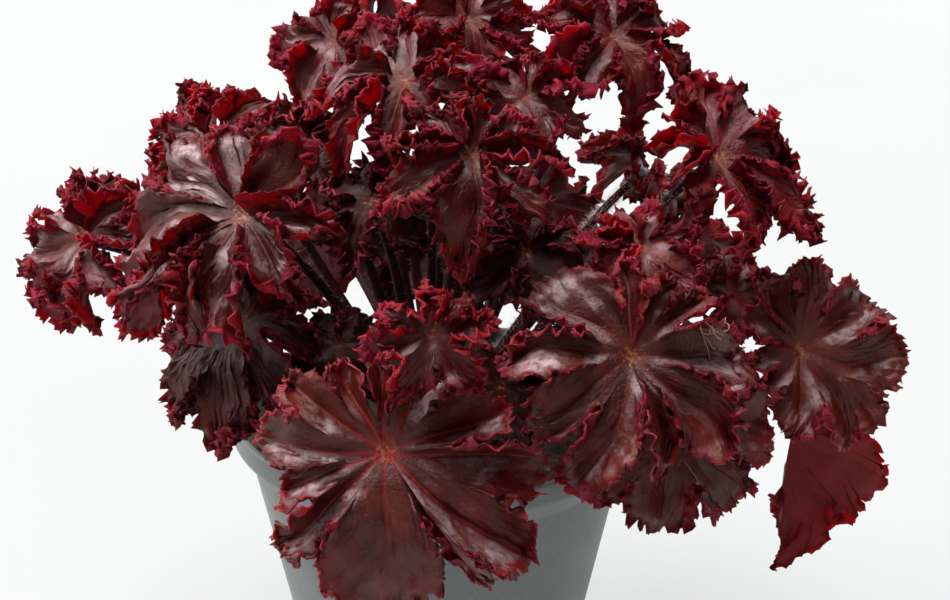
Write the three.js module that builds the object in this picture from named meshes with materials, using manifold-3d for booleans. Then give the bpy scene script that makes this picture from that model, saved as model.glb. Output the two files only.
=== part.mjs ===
// A heuchera (coral bells) with dark, ruffled leaves, growing in a tapered pot.
// Millimetres, +Z up. The origin is the centre of the pot's underside, and -Y is the plant's front.
// Each leaf is one body, blade and stalk. The stalks stand on a knobbly crown that is set in the soil.
import * as THREE from "three";
import { mergeVertices } from "three/addons/utils/BufferGeometryUtils.js";
import Module from "manifold-3d";

const wasm = await Module();
wasm.setup();

// ---------------------------------------------------------------- driving dimensions
const GAP = 0.3; // clearance between pieces that touch

const POT = {
  height: 118,
  baseRadius: 41.5,
  neckRadius: 63.0, // outside, just under the collar
  collarRadius: 69.0,
  neckHeight: 103,
  collarHeight: 111,
  wall: 2.4,
  floor: 3.2,
  sides: 36,
  drainCount: 4,
  drainRadius: 4,
  drainCircle: 24,
};

const SOIL = { top: 106, ripple: 1.6, holeDepth: 16, sides: 18 };

const CROWN = { radius: 21, height: 24, sides: 18, spacing: 6.2 };

const BLADE = {
  thickness: 0.9,
  hubThickness: 2.8,
  sinusHalf: 7, // half the angle of the open slit at the stalk, degrees
  tooth: 0.08, // depth of a tooth, as a share of the blade's length there
  arch: 0.1, // rise of the blade just out from the hub
  middleWidth: 0.035, // how much the cuts are drawn away from the middle lobe
  uneven: 0.25, // how far a cut strays from an even spacing, as a share of a lobe
  shortest: 0.88, // the shortest lobe, as a share of the plain outline
  lengthRange: 0.24, // and how much more the longest has
  lowFold: -0.1, // the least that the blade is folded up at a cut, as a share of the pleat
  foldRange: 1.6, // and how much more at the most
  bend: 0.9, // how far a lobe bends to one side, as a share of its own width
  tilt: 0.55, // how far a lobe is tilted up or down, as a share of the leaf's size
  frillStart: 0.68, // where the wave of the rim starts, as a share of the way out
};

const STALK = { baseRadius: 1.9, tipRadius: 1.4, sides: 5, steps: 4 };

const COLOURS = {
  blade: 0x4a1a1c,
  young: 0x6b1722,
  under: 0x5a2436,
  pot: 0x7c8584,
  soil: 0x2b2019,
  crown: 0x3a2a20,
};

// The leaves, one to a line. Lengths after the size are shares of it.
//   hub     the point where the stalk meets the blade
//   face    azimuth from the front, positive towards +X, and elevation of the upper face's normal
//   turn    how far the middle lobe is turned from hanging straight down, positive towards +X
//   size    length of the middle lobe from hub to tip; base: of the lobes by the slit
//   lobes, teeth  number of lobes, and of teeth on each lobe
//   cut     depth of the cuts between the lobes
//   droop   how far the tips hang; pleat: height of the folds between veins; frill: of the wavy edge
//   fold    degrees by which the two halves are folded up (or down, if negative) along the middle lobe
const LEAVES = [
  // name, hub, face, turn, size, base, lobes, teeth, cut, droop, pleat, frill, fold
  ["front_low", [-12, -112, 155], [-6, 22], 11, 51, 0.6, 12, 3, 0.32, 0.2, 0.25, 0.05],
  ["front_young", [1, -117, 193], [0, 22], -15, 22, 0.7, 7, 3, 0.36, 0.15, 0.3, 0.12],
  ["front_right", [56, -94, 176], [10, 30], -15, 45, 0.82, 10, 5, 0.36, 0.25, 0.26, 0.06],
  ["right_low", [71, -66, 145], [25, 18], 25, 44, 0.65, 9, 3, 0.32, 0.15, 0.18, 0.07],
  ["front_under", [20, -74, 158], [0, 12], 0, 23, 0.7, 7, 3, 0.3, 0.2, 0.2, 0.12],
  ["left_low", [-58, -46, 166], [-40, 50], -30, 41, 0.6, 9, 3, 0.34, 0.3, 0.14, 0.09],
  ["right_far", [116, -26, 148], [10, 25], 75, 42, 0.55, 9, 3, 0.32, 0.12, 0.2, 0.065],
  ["right_hang", [120, 2, 104], [-45, 0], 2, 47, 0.6, 7, 3, 0.25, 0.05, 0.1, 0.06, -62],
  ["right_mid", [98, 14, 152], [45, 35], 10, 26, 0.7, 7, 3, 0.36, 0.2, 0.2, 0.1],
  ["right_high", [87, -16, 209], [20, 50], 85, 47, 0.36, 9, 3, 0.44, 0.32, 0.22, 0.1],
  ["right_small", [62, -52, 192], [5, 55], 0, 24, 0.7, 7, 3, 0.4, 0.2, 0.25, 0.12],
  ["left_big", [-56, -50, 202], [-25, 42], -75, 56, 0.58, 9, 5, 0.46, 0.2, 0.24, 0.08],
  ["left_far", [-116, 10, 172], [-50, 35], -15, 39, 0.7, 9, 3, 0.42, 0.35, 0.22, 0.11],
  ["left_back", [-78, 46, 192], [-40, 40], 0, 40, 0.8, 9, 3, 0.42, 0.3, 0.2, 0.1],
  ["top_left", [-9, -12, 232], [-15, 60], -85, 38, 0.65, 9, 3, 0.46, 0.3, 0.26, 0.1],
  ["top_left_back", [-34, 38, 232], [-25, 45], -20, 29, 0.7, 7, 3, 0.44, 0.25, 0.25, 0.1],
  ["centre_high", [12, -64, 225], [0, 45], 0, 36, 0.75, 9, 3, 0.52, 0.25, 0.3, 0.1],
  ["top_right", [57, 22, 238], [20, 50], 10, 33, 0.75, 9, 3, 0.46, 0.3, 0.26, 0.1],
  ["top_mid", [10, 44, 238], [5, 50], 0, 29, 0.7, 7, 3, 0.44, 0.25, 0.26, 0.1],
  ["upper_mid", [28, -11, 227], [10, 50], 0, 25, 0.7, 7, 3, 0.44, 0.25, 0.28, 0.11],
  ["mid_left", [-20, -29, 199], [-15, 45], 0, 25, 0.7, 7, 3, 0.4, 0.2, 0.28, 0.11],
  ["mid_back", [-42, 5, 207], [-30, 50], 0, 25, 0.7, 7, 3, 0.4, 0.2, 0.28, 0.11],
  ["mid_centre", [28, -45, 188], [10, 45], 0, 26, 0.7, 7, 3, 0.4, 0.2, 0.28, 0.11],
  ["deep_left", [-29, -49, 160], [-5, 40], 0, 20, 0.7, 7, 3, 0.3, 0.2, 0.2, 0.1],
  ["deep_right", [46, 6, 160], [15, 40], 0, 24, 0.7, 7, 3, 0.3, 0.2, 0.2, 0.1],
  ["deep_back", [5, 54, 158], [0, 38], 0, 38, 0.7, 9, 3, 0.3, 0.25, 0.2, 0.09],
  ["back_right_high", [72, 58, 180], [110, 50], 0, 38, 0.7, 9, 3, 0.36, 0.3, 0.2, 0.1],
  ["back_right_low", [104, 70, 140], [115, 30], 0, 36, 0.7, 7, 3, 0.34, 0.3, 0.2, 0.1],
  ["back_low", [34, 112, 150], [172, 35], 0, 42, 0.7, 9, 3, 0.34, 0.3, 0.18, 0.1],
  ["back_left_low", [-42, 98, 142], [205, 25], 0, 42, 0.7, 9, 3, 0.32, 0.3, 0.16, 0.09],
  ["back_left", [-98, 66, 144], [240, 35], 0, 37, 0.7, 7, 3, 0.34, 0.3, 0.18, 0.09],
  ["back_top", [-22, 70, 231], [190, 60], 0, 31, 0.7, 7, 3, 0.38, 0.3, 0.25, 0.1],
].map(([name, hub, face, turn, size, base, lobes, teeth, cut, droop, pleat, frill, fold = 0], index) => {
  const form = { base, lobes, teeth, cut, droop, pleat, frill, fold, seed: index + 1 };
  return { name: `leaf_${name}`, hub, face, turn, size, ...form };
});

// The cuts that are placed by hand, on the leaves at the front: degrees from the middle lobe, depth,
// and for a wide one how blunt the lobes beside it are (CUT_POWER for the others).
const CUT_POWER = 4;
const PLACED_CUTS = {
  leaf_front_low: [
    [-157, 0.5],
    [-124, 0.24],
    [-90, 0.38],
    [-61, 0.18],
    [-34, 0.16],
    [-23, 0.5],
    [44, 0.4],
    [66, 0.3],
    [88, 0.42, 2.5],
    [121, 0.12],
    [150, 0.3],
  ],
  leaf_front_right: [
    [-150, 0.28],
    [-131, 0.48],
    [-81, 0.5],
    [-38, 0.5],
    [-15, 0.6, 3],
    [26, 0.4],
    [66, 0.42, 3],
    [101, 0.45],
    [150, 0.42],
  ],
  leaf_left_big: [
    [-145, 0.32],
    [-109, 0.6],
    [-72, 0.4],
    [-46, 0.5],
    [-25, 0.62],
    [23, 0.6],
    [65, 0.68],
    [118, 0.6],
  ],
  leaf_centre_high: [
    [-140, 0.6],
    [-104, 0.68],
    [-63, 0.62],
    [-29, 0.68],
    [38, 0.68],
    [84, 0.62],
    [119, 0.64],
    [150, 0.6],
  ],
};

// The lengths of the lobes of some of them, from slit to slit, as shares of the plain outline.
const PLACED_LOBES = {
  leaf_front_low: [0.94, 1, 1, 1.07, 1.12, 1.03, 1.03, 1.03, 0.78, 1.08, 1.12, 0.94],
  leaf_front_right: [0.76, 0.82, 0.94, 0.96, 0.82, 0.96, 0.86, 0.9, 0.92, 0.8],
  leaf_left_big: [1, 0.94, 0.97, 0.84, 0.96, 1, 0.94, 0.76, 0.88],
  leaf_centre_high: [0.7, 0.78, 0.9, 0.87, 0.92, 1.02, 0.9, 0.82, 0.78],
  leaf_right_far: [1, 1, 0.95, 0.9, 0.92, 0.92, 0.88, 0.7, 0.75],
};

// ---------------------------------------------------------------- small helpers
const radians = THREE.MathUtils.degToRad;
const smoothstep = THREE.MathUtils.smoothstep;

// A repeatable number from 0 to 1 for a seed and an index.
function chance(seed, index) {
  const x = Math.sin(seed * 12.9898 + index * 78.233) * 43758.5453;
  return x - Math.floor(x);
}

function meshData(vertices, triangles) {
  return new wasm.Mesh({
    numProp: 3,
    vertProperties: new Float32Array(vertices.flatMap((v) => [v.x, v.y, v.z])),
    triVerts: new Uint32Array(triangles.flat()),
  });
}

// A closed three.js geometry as a solid.
function solidFrom(geometry) {
  const bare = geometry.clone();
  bare.deleteAttribute("normal");
  bare.deleteAttribute("uv");
  const merged = mergeVertices(bare, 1e-4);
  return new wasm.Manifold(
    new wasm.Mesh({
      numProp: 3,
      vertProperties: new Float32Array(merged.attributes.position.array),
      triVerts: new Uint32Array(merged.index.array),
    }),
  );
}

function geometryFrom(solid) {
  const mesh = solid.getMesh();
  const geometry = new THREE.BufferGeometry();
  geometry.setAttribute("position", new THREE.BufferAttribute(mesh.vertProperties, 3));
  geometry.setIndex(new THREE.BufferAttribute(mesh.triVerts, 1));
  geometry.computeVertexNormals();
  return geometry;
}

function named(name, geometry, colour, roughness) {
  const material = new THREE.MeshStandardMaterial({ color: colour, roughness, metalness: 0 });
  const mesh = new THREE.Mesh(geometry, material);
  mesh.name = name;
  return mesh;
}

// A profile of [radius, height] pairs turned about +Z.
function turned(profile, sides) {
  const points = profile.map(([radius, height]) => new THREE.Vector2(radius, height));
  return new THREE.LatheGeometry(points, sides).rotateX(Math.PI / 2);
}

// ---------------------------------------------------------------- pot, soil and crown
function innerRadius(height) {
  const slope = (POT.neckRadius - POT.baseRadius) / POT.neckHeight;
  return POT.baseRadius + slope * height - POT.wall;
}

function makePot() {
  const inside = POT.collarRadius - POT.wall;
  const profile = [
    [0, 0],
    [POT.baseRadius, 0],
    [POT.neckRadius, POT.neckHeight],
    [POT.collarRadius, POT.collarHeight],
    [POT.collarRadius, POT.height],
    [inside, POT.height],
    [inside, POT.collarHeight + 0.5],
    [innerRadius(POT.neckHeight) + 0.4, POT.neckHeight],
    [innerRadius(POT.floor), POT.floor],
    [0, POT.floor],
  ];
  let pot = solidFrom(turned(profile, POT.sides));
  const drain = new THREE.CylinderGeometry(POT.drainRadius, POT.drainRadius, 3 * POT.floor, 8);
  drain.rotateX(Math.PI / 2).translate(POT.drainCircle, 0, 0).rotateZ(Math.PI / POT.drainCount);
  for (let i = 0; i < POT.drainCount; i++) {
    pot = pot.subtract(solidFrom(drain));
    drain.rotateZ((2 * Math.PI) / POT.drainCount);
  }
  return named("pot", geometryFrom(pot), COLOURS.pot, 0.55);
}

// The soil fills the pot to a rippled top, with a plain hole for the crown.
function makeSoil() {
  const bottom = POT.floor + GAP;
  const hole = CROWN.radius + GAP;
  const outer = (height) => innerRadius(height) - GAP;
  const profile = [
    [0, bottom],
    [outer(bottom), bottom],
    [outer(70), 70],
    [outer(POT.neckHeight - 2), POT.neckHeight - 2],
    [56, SOIL.top],
    [45, SOIL.top],
    [34, SOIL.top],
    [hole, SOIL.top],
    [hole, SOIL.top - SOIL.holeDepth],
    [0, SOIL.top - SOIL.holeDepth],
  ];
  const geometry = turned(profile, SOIL.sides);
  const position = geometry.attributes.position;
  for (let i = 0; i < position.count; i++) {
    const [x, y, z] = [position.getX(i), position.getY(i), position.getZ(i)];
    const radius = Math.hypot(x, y);
    if (z > SOIL.top - 0.1 && radius > hole + 1) {
      const ripple = SOIL.ripple * Math.sin(x * 0.31 + 1) * Math.cos(y * 0.27);
      position.setZ(i, z + ripple - 0.05 * (radius - hole));
    }
  }
  return named("soil", geometryFrom(solidFrom(geometry)), COLOURS.soil, 0.95);
}

// The top of the crown is a dome, on which the stalks stand.
const CROWN_FOOT = SOIL.top + 2;

function crownPoint(direction) {
  return new THREE.Vector3(
    direction.x * CROWN.radius,
    direction.y * CROWN.radius,
    CROWN_FOOT + direction.z * CROWN.height,
  );
}

function makeCrown() {
  const foot = SOIL.top - SOIL.holeDepth + GAP;
  const profile = [
    [0, foot],
    [CROWN.radius * 0.92, foot],
    [CROWN.radius, foot + 6],
    [CROWN.radius, CROWN_FOOT],
  ];
  const rings = 5;
  for (let i = 1; i <= rings; i++) {
    const angle = (i / rings) * (Math.PI / 2);
    const radius = i === rings ? 0 : CROWN.radius * Math.cos(angle);
    profile.push([radius, CROWN_FOOT + CROWN.height * Math.sin(angle)]);
  }
  return named("crown", geometryFrom(solidFrom(turned(profile, CROWN.sides))), COLOURS.crown, 0.9);
}

// ---------------------------------------------------------------- the blade
// Angles run from the middle lobe, 0, to the open slit at the stalk, 180 degrees.
function slitAngle() {
  return Math.PI - radians(BLADE.sinusHalf);
}

// The cuts from slit to slit, with the slit's sides as the first and the last: where each lies,
// how deep it is, and how high the blade is folded up at it. The middle lobes are the widest.
function cutsOf(leaf) {
  const { seed, lobes } = leaf;
  return Array.from({ length: lobes + 1 }, (_, i) => {
    const inner = i > 0 && i < lobes;
    const uneven = inner ? (BLADE.uneven * (chance(seed, 10 + i) - 0.5)) / lobes : 0;
    const round = i / lobes - BLADE.middleWidth * Math.sin((2 * Math.PI * i) / lobes) + uneven;
    const [placed, depth, power] = (inner && PLACED_CUTS[leaf.name]?.[i - 1]) || [];
    return {
      angle: placed === undefined ? slitAngle() * (2 * round - 1) : radians(placed),
      depth: depth ?? leaf.cut * (0.5 + chance(seed, 60 + i)),
      power: power ?? CUT_POWER,
      fold: BLADE.lowFold + BLADE.foldRange * chance(seed, 80 + i),
    };
  });
}

// Where an angle falls: which lobe, how far from its middle vein, -1 to 1, and the cut on that side.
function lobeAt(leaf, angle) {
  const next = leaf.cuts.findIndex((cut, i) => i > 0 && angle < cut.angle);
  const lobe = next < 0 ? leaf.lobes - 1 : next - 1;
  const [from, to] = [leaf.cuts[lobe], leaf.cuts[lobe + 1]];
  const share = (angle - from.angle) / (to.angle - from.angle);
  return { lobe, across: 2 * share - 1, along: lobe + share, beside: share > 0.5 ? to : from };
}

// The length of each lobe, as a share of the plain outline.
function lobeLengths(leaf) {
  return Array.from({ length: leaf.lobes }, (_, i) => {
    return PLACED_LOBES[leaf.name]?.[i] ?? BLADE.shortest + BLADE.lengthRange * chance(leaf.seed, i);
  });
}

// How far each lobe is tilted up or down.
function lobeTilts(leaf) {
  return Array.from({ length: leaf.lobes }, (_, i) => BLADE.tilt * (chance(leaf.seed, 40 + i) - 0.5));
}

// A number of each lobe, which passes smoothly from one lobe to the next.
function perLobe(numbers, lobe, across) {
  const beside = Math.min(numbers.length - 1, Math.max(0, lobe + Math.sign(across)));
  return numbers[lobe] + 0.5 * (numbers[beside] - numbers[lobe]) * smoothstep(Math.abs(across), 0.2, 1);
}

// Length of the blade from hub to edge, as a share of the leaf's size.
function edgeLength(leaf, angle) {
  const { lobe, across, beside } = lobeAt(leaf, angle);
  const outline = leaf.base + (1 - leaf.base) * Math.cos(angle / 2) ** 2;
  const ofLobe = perLobe(leaf.lengths, lobe, across);
  const phase = (across * leaf.teeth) / 2 + 0.5;
  const fromTip = Math.abs(phase - Math.floor(phase) - 0.5) * 2;
  const ofCut = beside.depth * Math.abs(across) ** beside.power;
  return outline * ofLobe * (1 - ofCut) * (1 - BLADE.tooth * fromTip);
}

// A point of the upper face in the leaf's own frame: hub at the origin, middle lobe along +Y, face up +Z.
function bladePoint(leaf, angle, share) {
  const { lobe, across, along, beside } = lobeAt(leaf, angle);
  const reach = share * edgeLength(leaf, angle);
  const phase = 2 * Math.PI * chance(leaf.seed, 20);
  const between = Math.abs(Math.sin((Math.PI / 2) * across));
  const sway = 0.6 * Math.sin(2 * angle + phase) + 0.4 * Math.sin(3 * angle + 2 * phase);
  const droop = leaf.droop * (1 + 0.6 * sway);
  const tilt = perLobe(leaf.tilts, lobe, across);
  const collar = leaf.pleat * between ** 4 * smoothstep(share, 0.5, 1);
  const wave = Math.sin(Math.PI * along * leaf.teeth + phase) * smoothstep(share, BLADE.frillStart, 1);
  const height =
    BLADE.arch * 4 * reach * (1 - reach) ** 2 +
    leaf.pleat * reach ** 1.3 * (beside.fold * between ** 1.2 - 0.4) +
    0.5 * collar +
    leaf.frill * wave * (0.8 + 0.4 * Math.sin(1.7 * along + phase)) +
    tilt * reach ** 2 -
    droop * reach ** 2.4;
  const pulled = reach * (1 - 0.35 * droop * reach ** 2) - 0.25 * collar;
  const bend = BLADE.bend * (slitAngle() / leaf.lobes) * (chance(leaf.seed, 120 + lobe) - 0.5);
  const drawn = angle + bend * share ** 2 * (1 - across ** 2);
  const x = pulled * Math.sin(drawn);
  const fold = radians(leaf.fold);
  return new THREE.Vector3(
    x * Math.cos(fold) * leaf.size,
    pulled * Math.cos(drawn) * leaf.size,
    (height + Math.abs(x) * Math.sin(fold)) * leaf.size,
  );
}

// The angles of a ring with so many points to each lobe, from slit to slit.
function ringAngles(leaf, points) {
  const angles = leaf.cuts.slice(1).flatMap((to, i) => {
    const from = leaf.cuts[i];
    return Array.from({ length: points }, (_, k) => from.angle + (k / points) * (to.angle - from.angle));
  });
  return [...angles, slitAngle()];
}

// A closed blade: the same triangles on both faces, and a rim round the edge and the slit.
function makeBlade(leaf) {
  const plan = [
    [2, 0.36],
    [4, 0.7],
    [2 * leaf.teeth, 1],
  ];
  const top = [bladePoint(leaf, 0, 0)];
  const rings = plan.map(([points, share]) => {
    const angles = ringAngles(leaf, points);
    const first = top.length;
    angles.forEach((angle) => top.push(bladePoint(leaf, angle, share)));
    return { first, angles };
  });
  const faces = [];
  const inmost = rings[0];
  for (let i = 0; i + 1 < inmost.angles.length; i++) faces.push([0, inmost.first + i + 1, inmost.first + i]);
  for (let r = 0; r + 1 < rings.length; r++) faces.push(...zip(rings[r], rings[r + 1]));

  const normals = top.map(() => new THREE.Vector3());
  for (const [a, b, c] of faces) {
    const normal = top[b].clone().sub(top[a]).cross(top[c].clone().sub(top[a]));
    [a, b, c].forEach((i) => normals[i].add(normal));
  }
  const under = top.map((point, i) => {
    const depth = i === 0 ? BLADE.hubThickness : BLADE.thickness;
    return point.clone().addScaledVector(normals[i].normalize(), -depth);
  });
  const count = top.length;
  const outer = rings[rings.length - 1];
  const loop = [
    0,
    ...rings.map((ring) => ring.first),
    ...outer.angles.slice(1, -1).map((_, i) => outer.first + i + 1),
    ...rings.map((ring) => ring.first + ring.angles.length - 1).reverse(),
  ];
  const shell = [...faces, ...faces.map(([a, b, c]) => [count + a, count + c, count + b])];
  loop.forEach((a, i) => {
    const b = loop[(i + 1) % loop.length];
    shell.push([a, b, count + b], [a, count + b, count + a]);
  });
  return new wasm.Manifold(meshData([...top, ...under], shell));
}

// Triangles between two rings of points, each sorted by angle.
function zip(inner, outer) {
  const faces = [];
  let [i, j] = [0, 0];
  while (i + 1 < inner.angles.length || j + 1 < outer.angles.length) {
    const nextInner = inner.angles[i + 1] ?? Infinity;
    const nextOuter = outer.angles[j + 1] ?? Infinity;
    if (nextInner < nextOuter - 1e-9) {
      faces.push([inner.first + i, inner.first + i + 1, outer.first + j]);
      i++;
    } else {
      faces.push([inner.first + i, outer.first + j + 1, outer.first + j]);
      j++;
    }
  }
  return faces;
}

// ---------------------------------------------------------------- the stalk
// The leaf's axes in the plant's frame: across, along the middle lobe, and out of the upper face.
function leafAxes(leaf) {
  const [azimuth, elevation] = leaf.face.map(radians);
  const level = new THREE.Vector3(Math.sin(azimuth), -Math.cos(azimuth), 0);
  const up = new THREE.Vector3(0, 0, 1);
  const out = level.clone().multiplyScalar(Math.cos(elevation)).addScaledVector(up, Math.sin(elevation));
  const down = level.clone().multiplyScalar(Math.sin(elevation)).addScaledVector(up, -Math.cos(elevation));
  const side = out.clone().cross(down);
  const turn = radians(leaf.turn);
  const along = down.multiplyScalar(Math.cos(turn)).addScaledVector(side, Math.sin(turn));
  return { across: along.clone().cross(out), along, out };
}

// Where the stalks stand: each starts towards its own hub, and close ones push apart.
function stalkFeet() {
  const centre = new THREE.Vector3(0, 0, CROWN_FOOT);
  const feet = LEAVES.map((leaf) => {
    const towards = new THREE.Vector3(...leaf.hub).sub(centre).normalize();
    towards.z = Math.max(0.35, towards.z * 1.1 - 0.1);
    return towards.normalize();
  });
  const apart = CROWN.spacing / CROWN.radius;
  for (let round = 0; round < 60; round++) {
    for (let i = 0; i < feet.length; i++) {
      for (let j = i + 1; j < feet.length; j++) {
        const between = feet[j].clone().sub(feet[i]);
        const short = apart - between.length();
        if (short > 0) {
          between.setLength(short * 0.5);
          feet[i].sub(between);
          feet[j].add(between);
        }
      }
      feet[i].z = Math.max(0.35, feet[i].z);
      feet[i].normalize();
    }
  }
  return feet;
}

function stalkCurve(leaf, foot, axes) {
  const normal = new THREE.Vector3(
    foot.x / CROWN.radius,
    foot.y / CROWN.radius,
    foot.z / CROWN.height,
  ).normalize();
  const start = crownPoint(foot).addScaledVector(normal, GAP);
  const end = new THREE.Vector3(...leaf.hub).addScaledVector(axes.out, -0.5 * BLADE.hubThickness);
  const length = start.distanceTo(end);
  const arrival = end.clone().sub(start).setLength(0.5);
  arrival.addScaledVector(axes.out, 0.5).addScaledVector(axes.along, 0.35);
  return new THREE.CubicBezierCurve3(
    start,
    start.clone().addScaledVector(normal, 0.35 * length),
    end.clone().addScaledVector(arrival.normalize(), -0.3 * length),
    end,
  );
}

// A closed tapering tube along a curve.
function makeStalk(curve) {
  const { sides, steps } = STALK;
  const vertices = [];
  const faces = [];
  let reference = new THREE.Vector3(0.3, 0.2, 1).normalize();
  for (let i = 0; i <= steps; i++) {
    const t = i / steps;
    const tangent = curve.getTangent(t);
    const u = reference.clone().addScaledVector(tangent, -reference.dot(tangent)).normalize();
    const v = tangent.clone().cross(u);
    reference = u;
    const radius = THREE.MathUtils.lerp(STALK.baseRadius, STALK.tipRadius, t);
    for (let k = 0; k < sides; k++) {
      const angle = (2 * Math.PI * k) / sides;
      const vertex = curve.getPoint(t).addScaledVector(u, radius * Math.cos(angle));
      vertices.push(vertex.addScaledVector(v, radius * Math.sin(angle)));
      const [a, b] = [i * sides + k, i * sides + ((k + 1) % sides)];
      if (i < steps) faces.push([a, b, b + sides], [a, b + sides, a + sides]);
    }
  }
  for (let k = 1; k + 1 < sides; k++) {
    faces.push([0, k + 1, k]);
    faces.push([steps * sides, steps * sides + k, steps * sides + k + 1]);
  }
  return new wasm.Manifold(meshData(vertices, faces));
}

function makeLeaf(leaf, foot) {
  const axes = leafAxes(leaf);
  const place = new THREE.Matrix4().makeBasis(axes.across, axes.along, axes.out).setPosition(...leaf.hub);
  const blade = makeBlade(leaf).transform(place.elements);
  const stalk = makeStalk(stalkCurve(leaf, foot, axes));
  const colour = leaf.lobes > 7 ? COLOURS.blade : COLOURS.young;
  return named(leaf.name, geometryFrom(blade.add(stalk)), colour, 0.45);
}

// ---------------------------------------------------------------- the whole plant
const plant = new THREE.Group();
plant.name = "heuchera_in_pot";
plant.add(makePot(), makeSoil(), makeCrown());
const feet = stalkFeet();
LEAVES.forEach((leaf, i) => {
  const lobed = { ...leaf, cuts: cutsOf(leaf), lengths: lobeLengths(leaf), tilts: lobeTilts(leaf) };
  plant.add(makeLeaf(lobed, feet[i]));
});

export default plant;
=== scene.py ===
"""A heuchera with dark, ruffled leaves in a grey pot: the fine surfaces, materials, light and camera.

Lengths are in millimetres until a mesh is made, and metres from there on.
"""

from math import cos, pi, radians, sin
from types import SimpleNamespace

import bpy
import numpy as np
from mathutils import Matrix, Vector
from numpy.linalg import norm


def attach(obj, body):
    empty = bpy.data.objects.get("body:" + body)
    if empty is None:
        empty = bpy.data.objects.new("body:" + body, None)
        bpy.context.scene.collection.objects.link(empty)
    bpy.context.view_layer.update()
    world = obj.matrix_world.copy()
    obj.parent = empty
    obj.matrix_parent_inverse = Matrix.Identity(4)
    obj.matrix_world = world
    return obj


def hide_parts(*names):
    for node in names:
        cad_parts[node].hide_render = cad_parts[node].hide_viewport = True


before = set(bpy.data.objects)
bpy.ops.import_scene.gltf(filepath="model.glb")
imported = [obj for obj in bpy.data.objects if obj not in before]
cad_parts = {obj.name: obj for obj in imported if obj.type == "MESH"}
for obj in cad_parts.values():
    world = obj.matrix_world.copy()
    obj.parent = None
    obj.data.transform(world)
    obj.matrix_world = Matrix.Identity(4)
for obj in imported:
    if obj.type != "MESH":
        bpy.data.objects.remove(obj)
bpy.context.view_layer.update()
MM = 0.001
FULL_TURN = 6.28

# ---- dimensions shared with the solids
POT = SimpleNamespace(height=118, neck_height=103, collar_height=111, wall=2.4, floor=3.2)
POT.base_radius, POT.neck_radius, POT.collar_radius = 41.5, 63.0, 69.0
DRAINS = SimpleNamespace(count=4, radius=4, circle=24)
SOIL_TOP = 106
SOIL_RIPPLE = 1.6
CROWN = SimpleNamespace(radius=21, height=24, spacing=6.2, foot=108)
GAP = 0.3
BLADE = SimpleNamespace(hub=2.8, sinus_half=7, arch=0.1)
STALK = SimpleNamespace(base=1.9, tip=1.4)
# the edge runs from minus this angle to plus it, round the middle lobe at 0, and the rest is slit
SLIT = pi - radians(BLADE.sinus_half)

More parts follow.
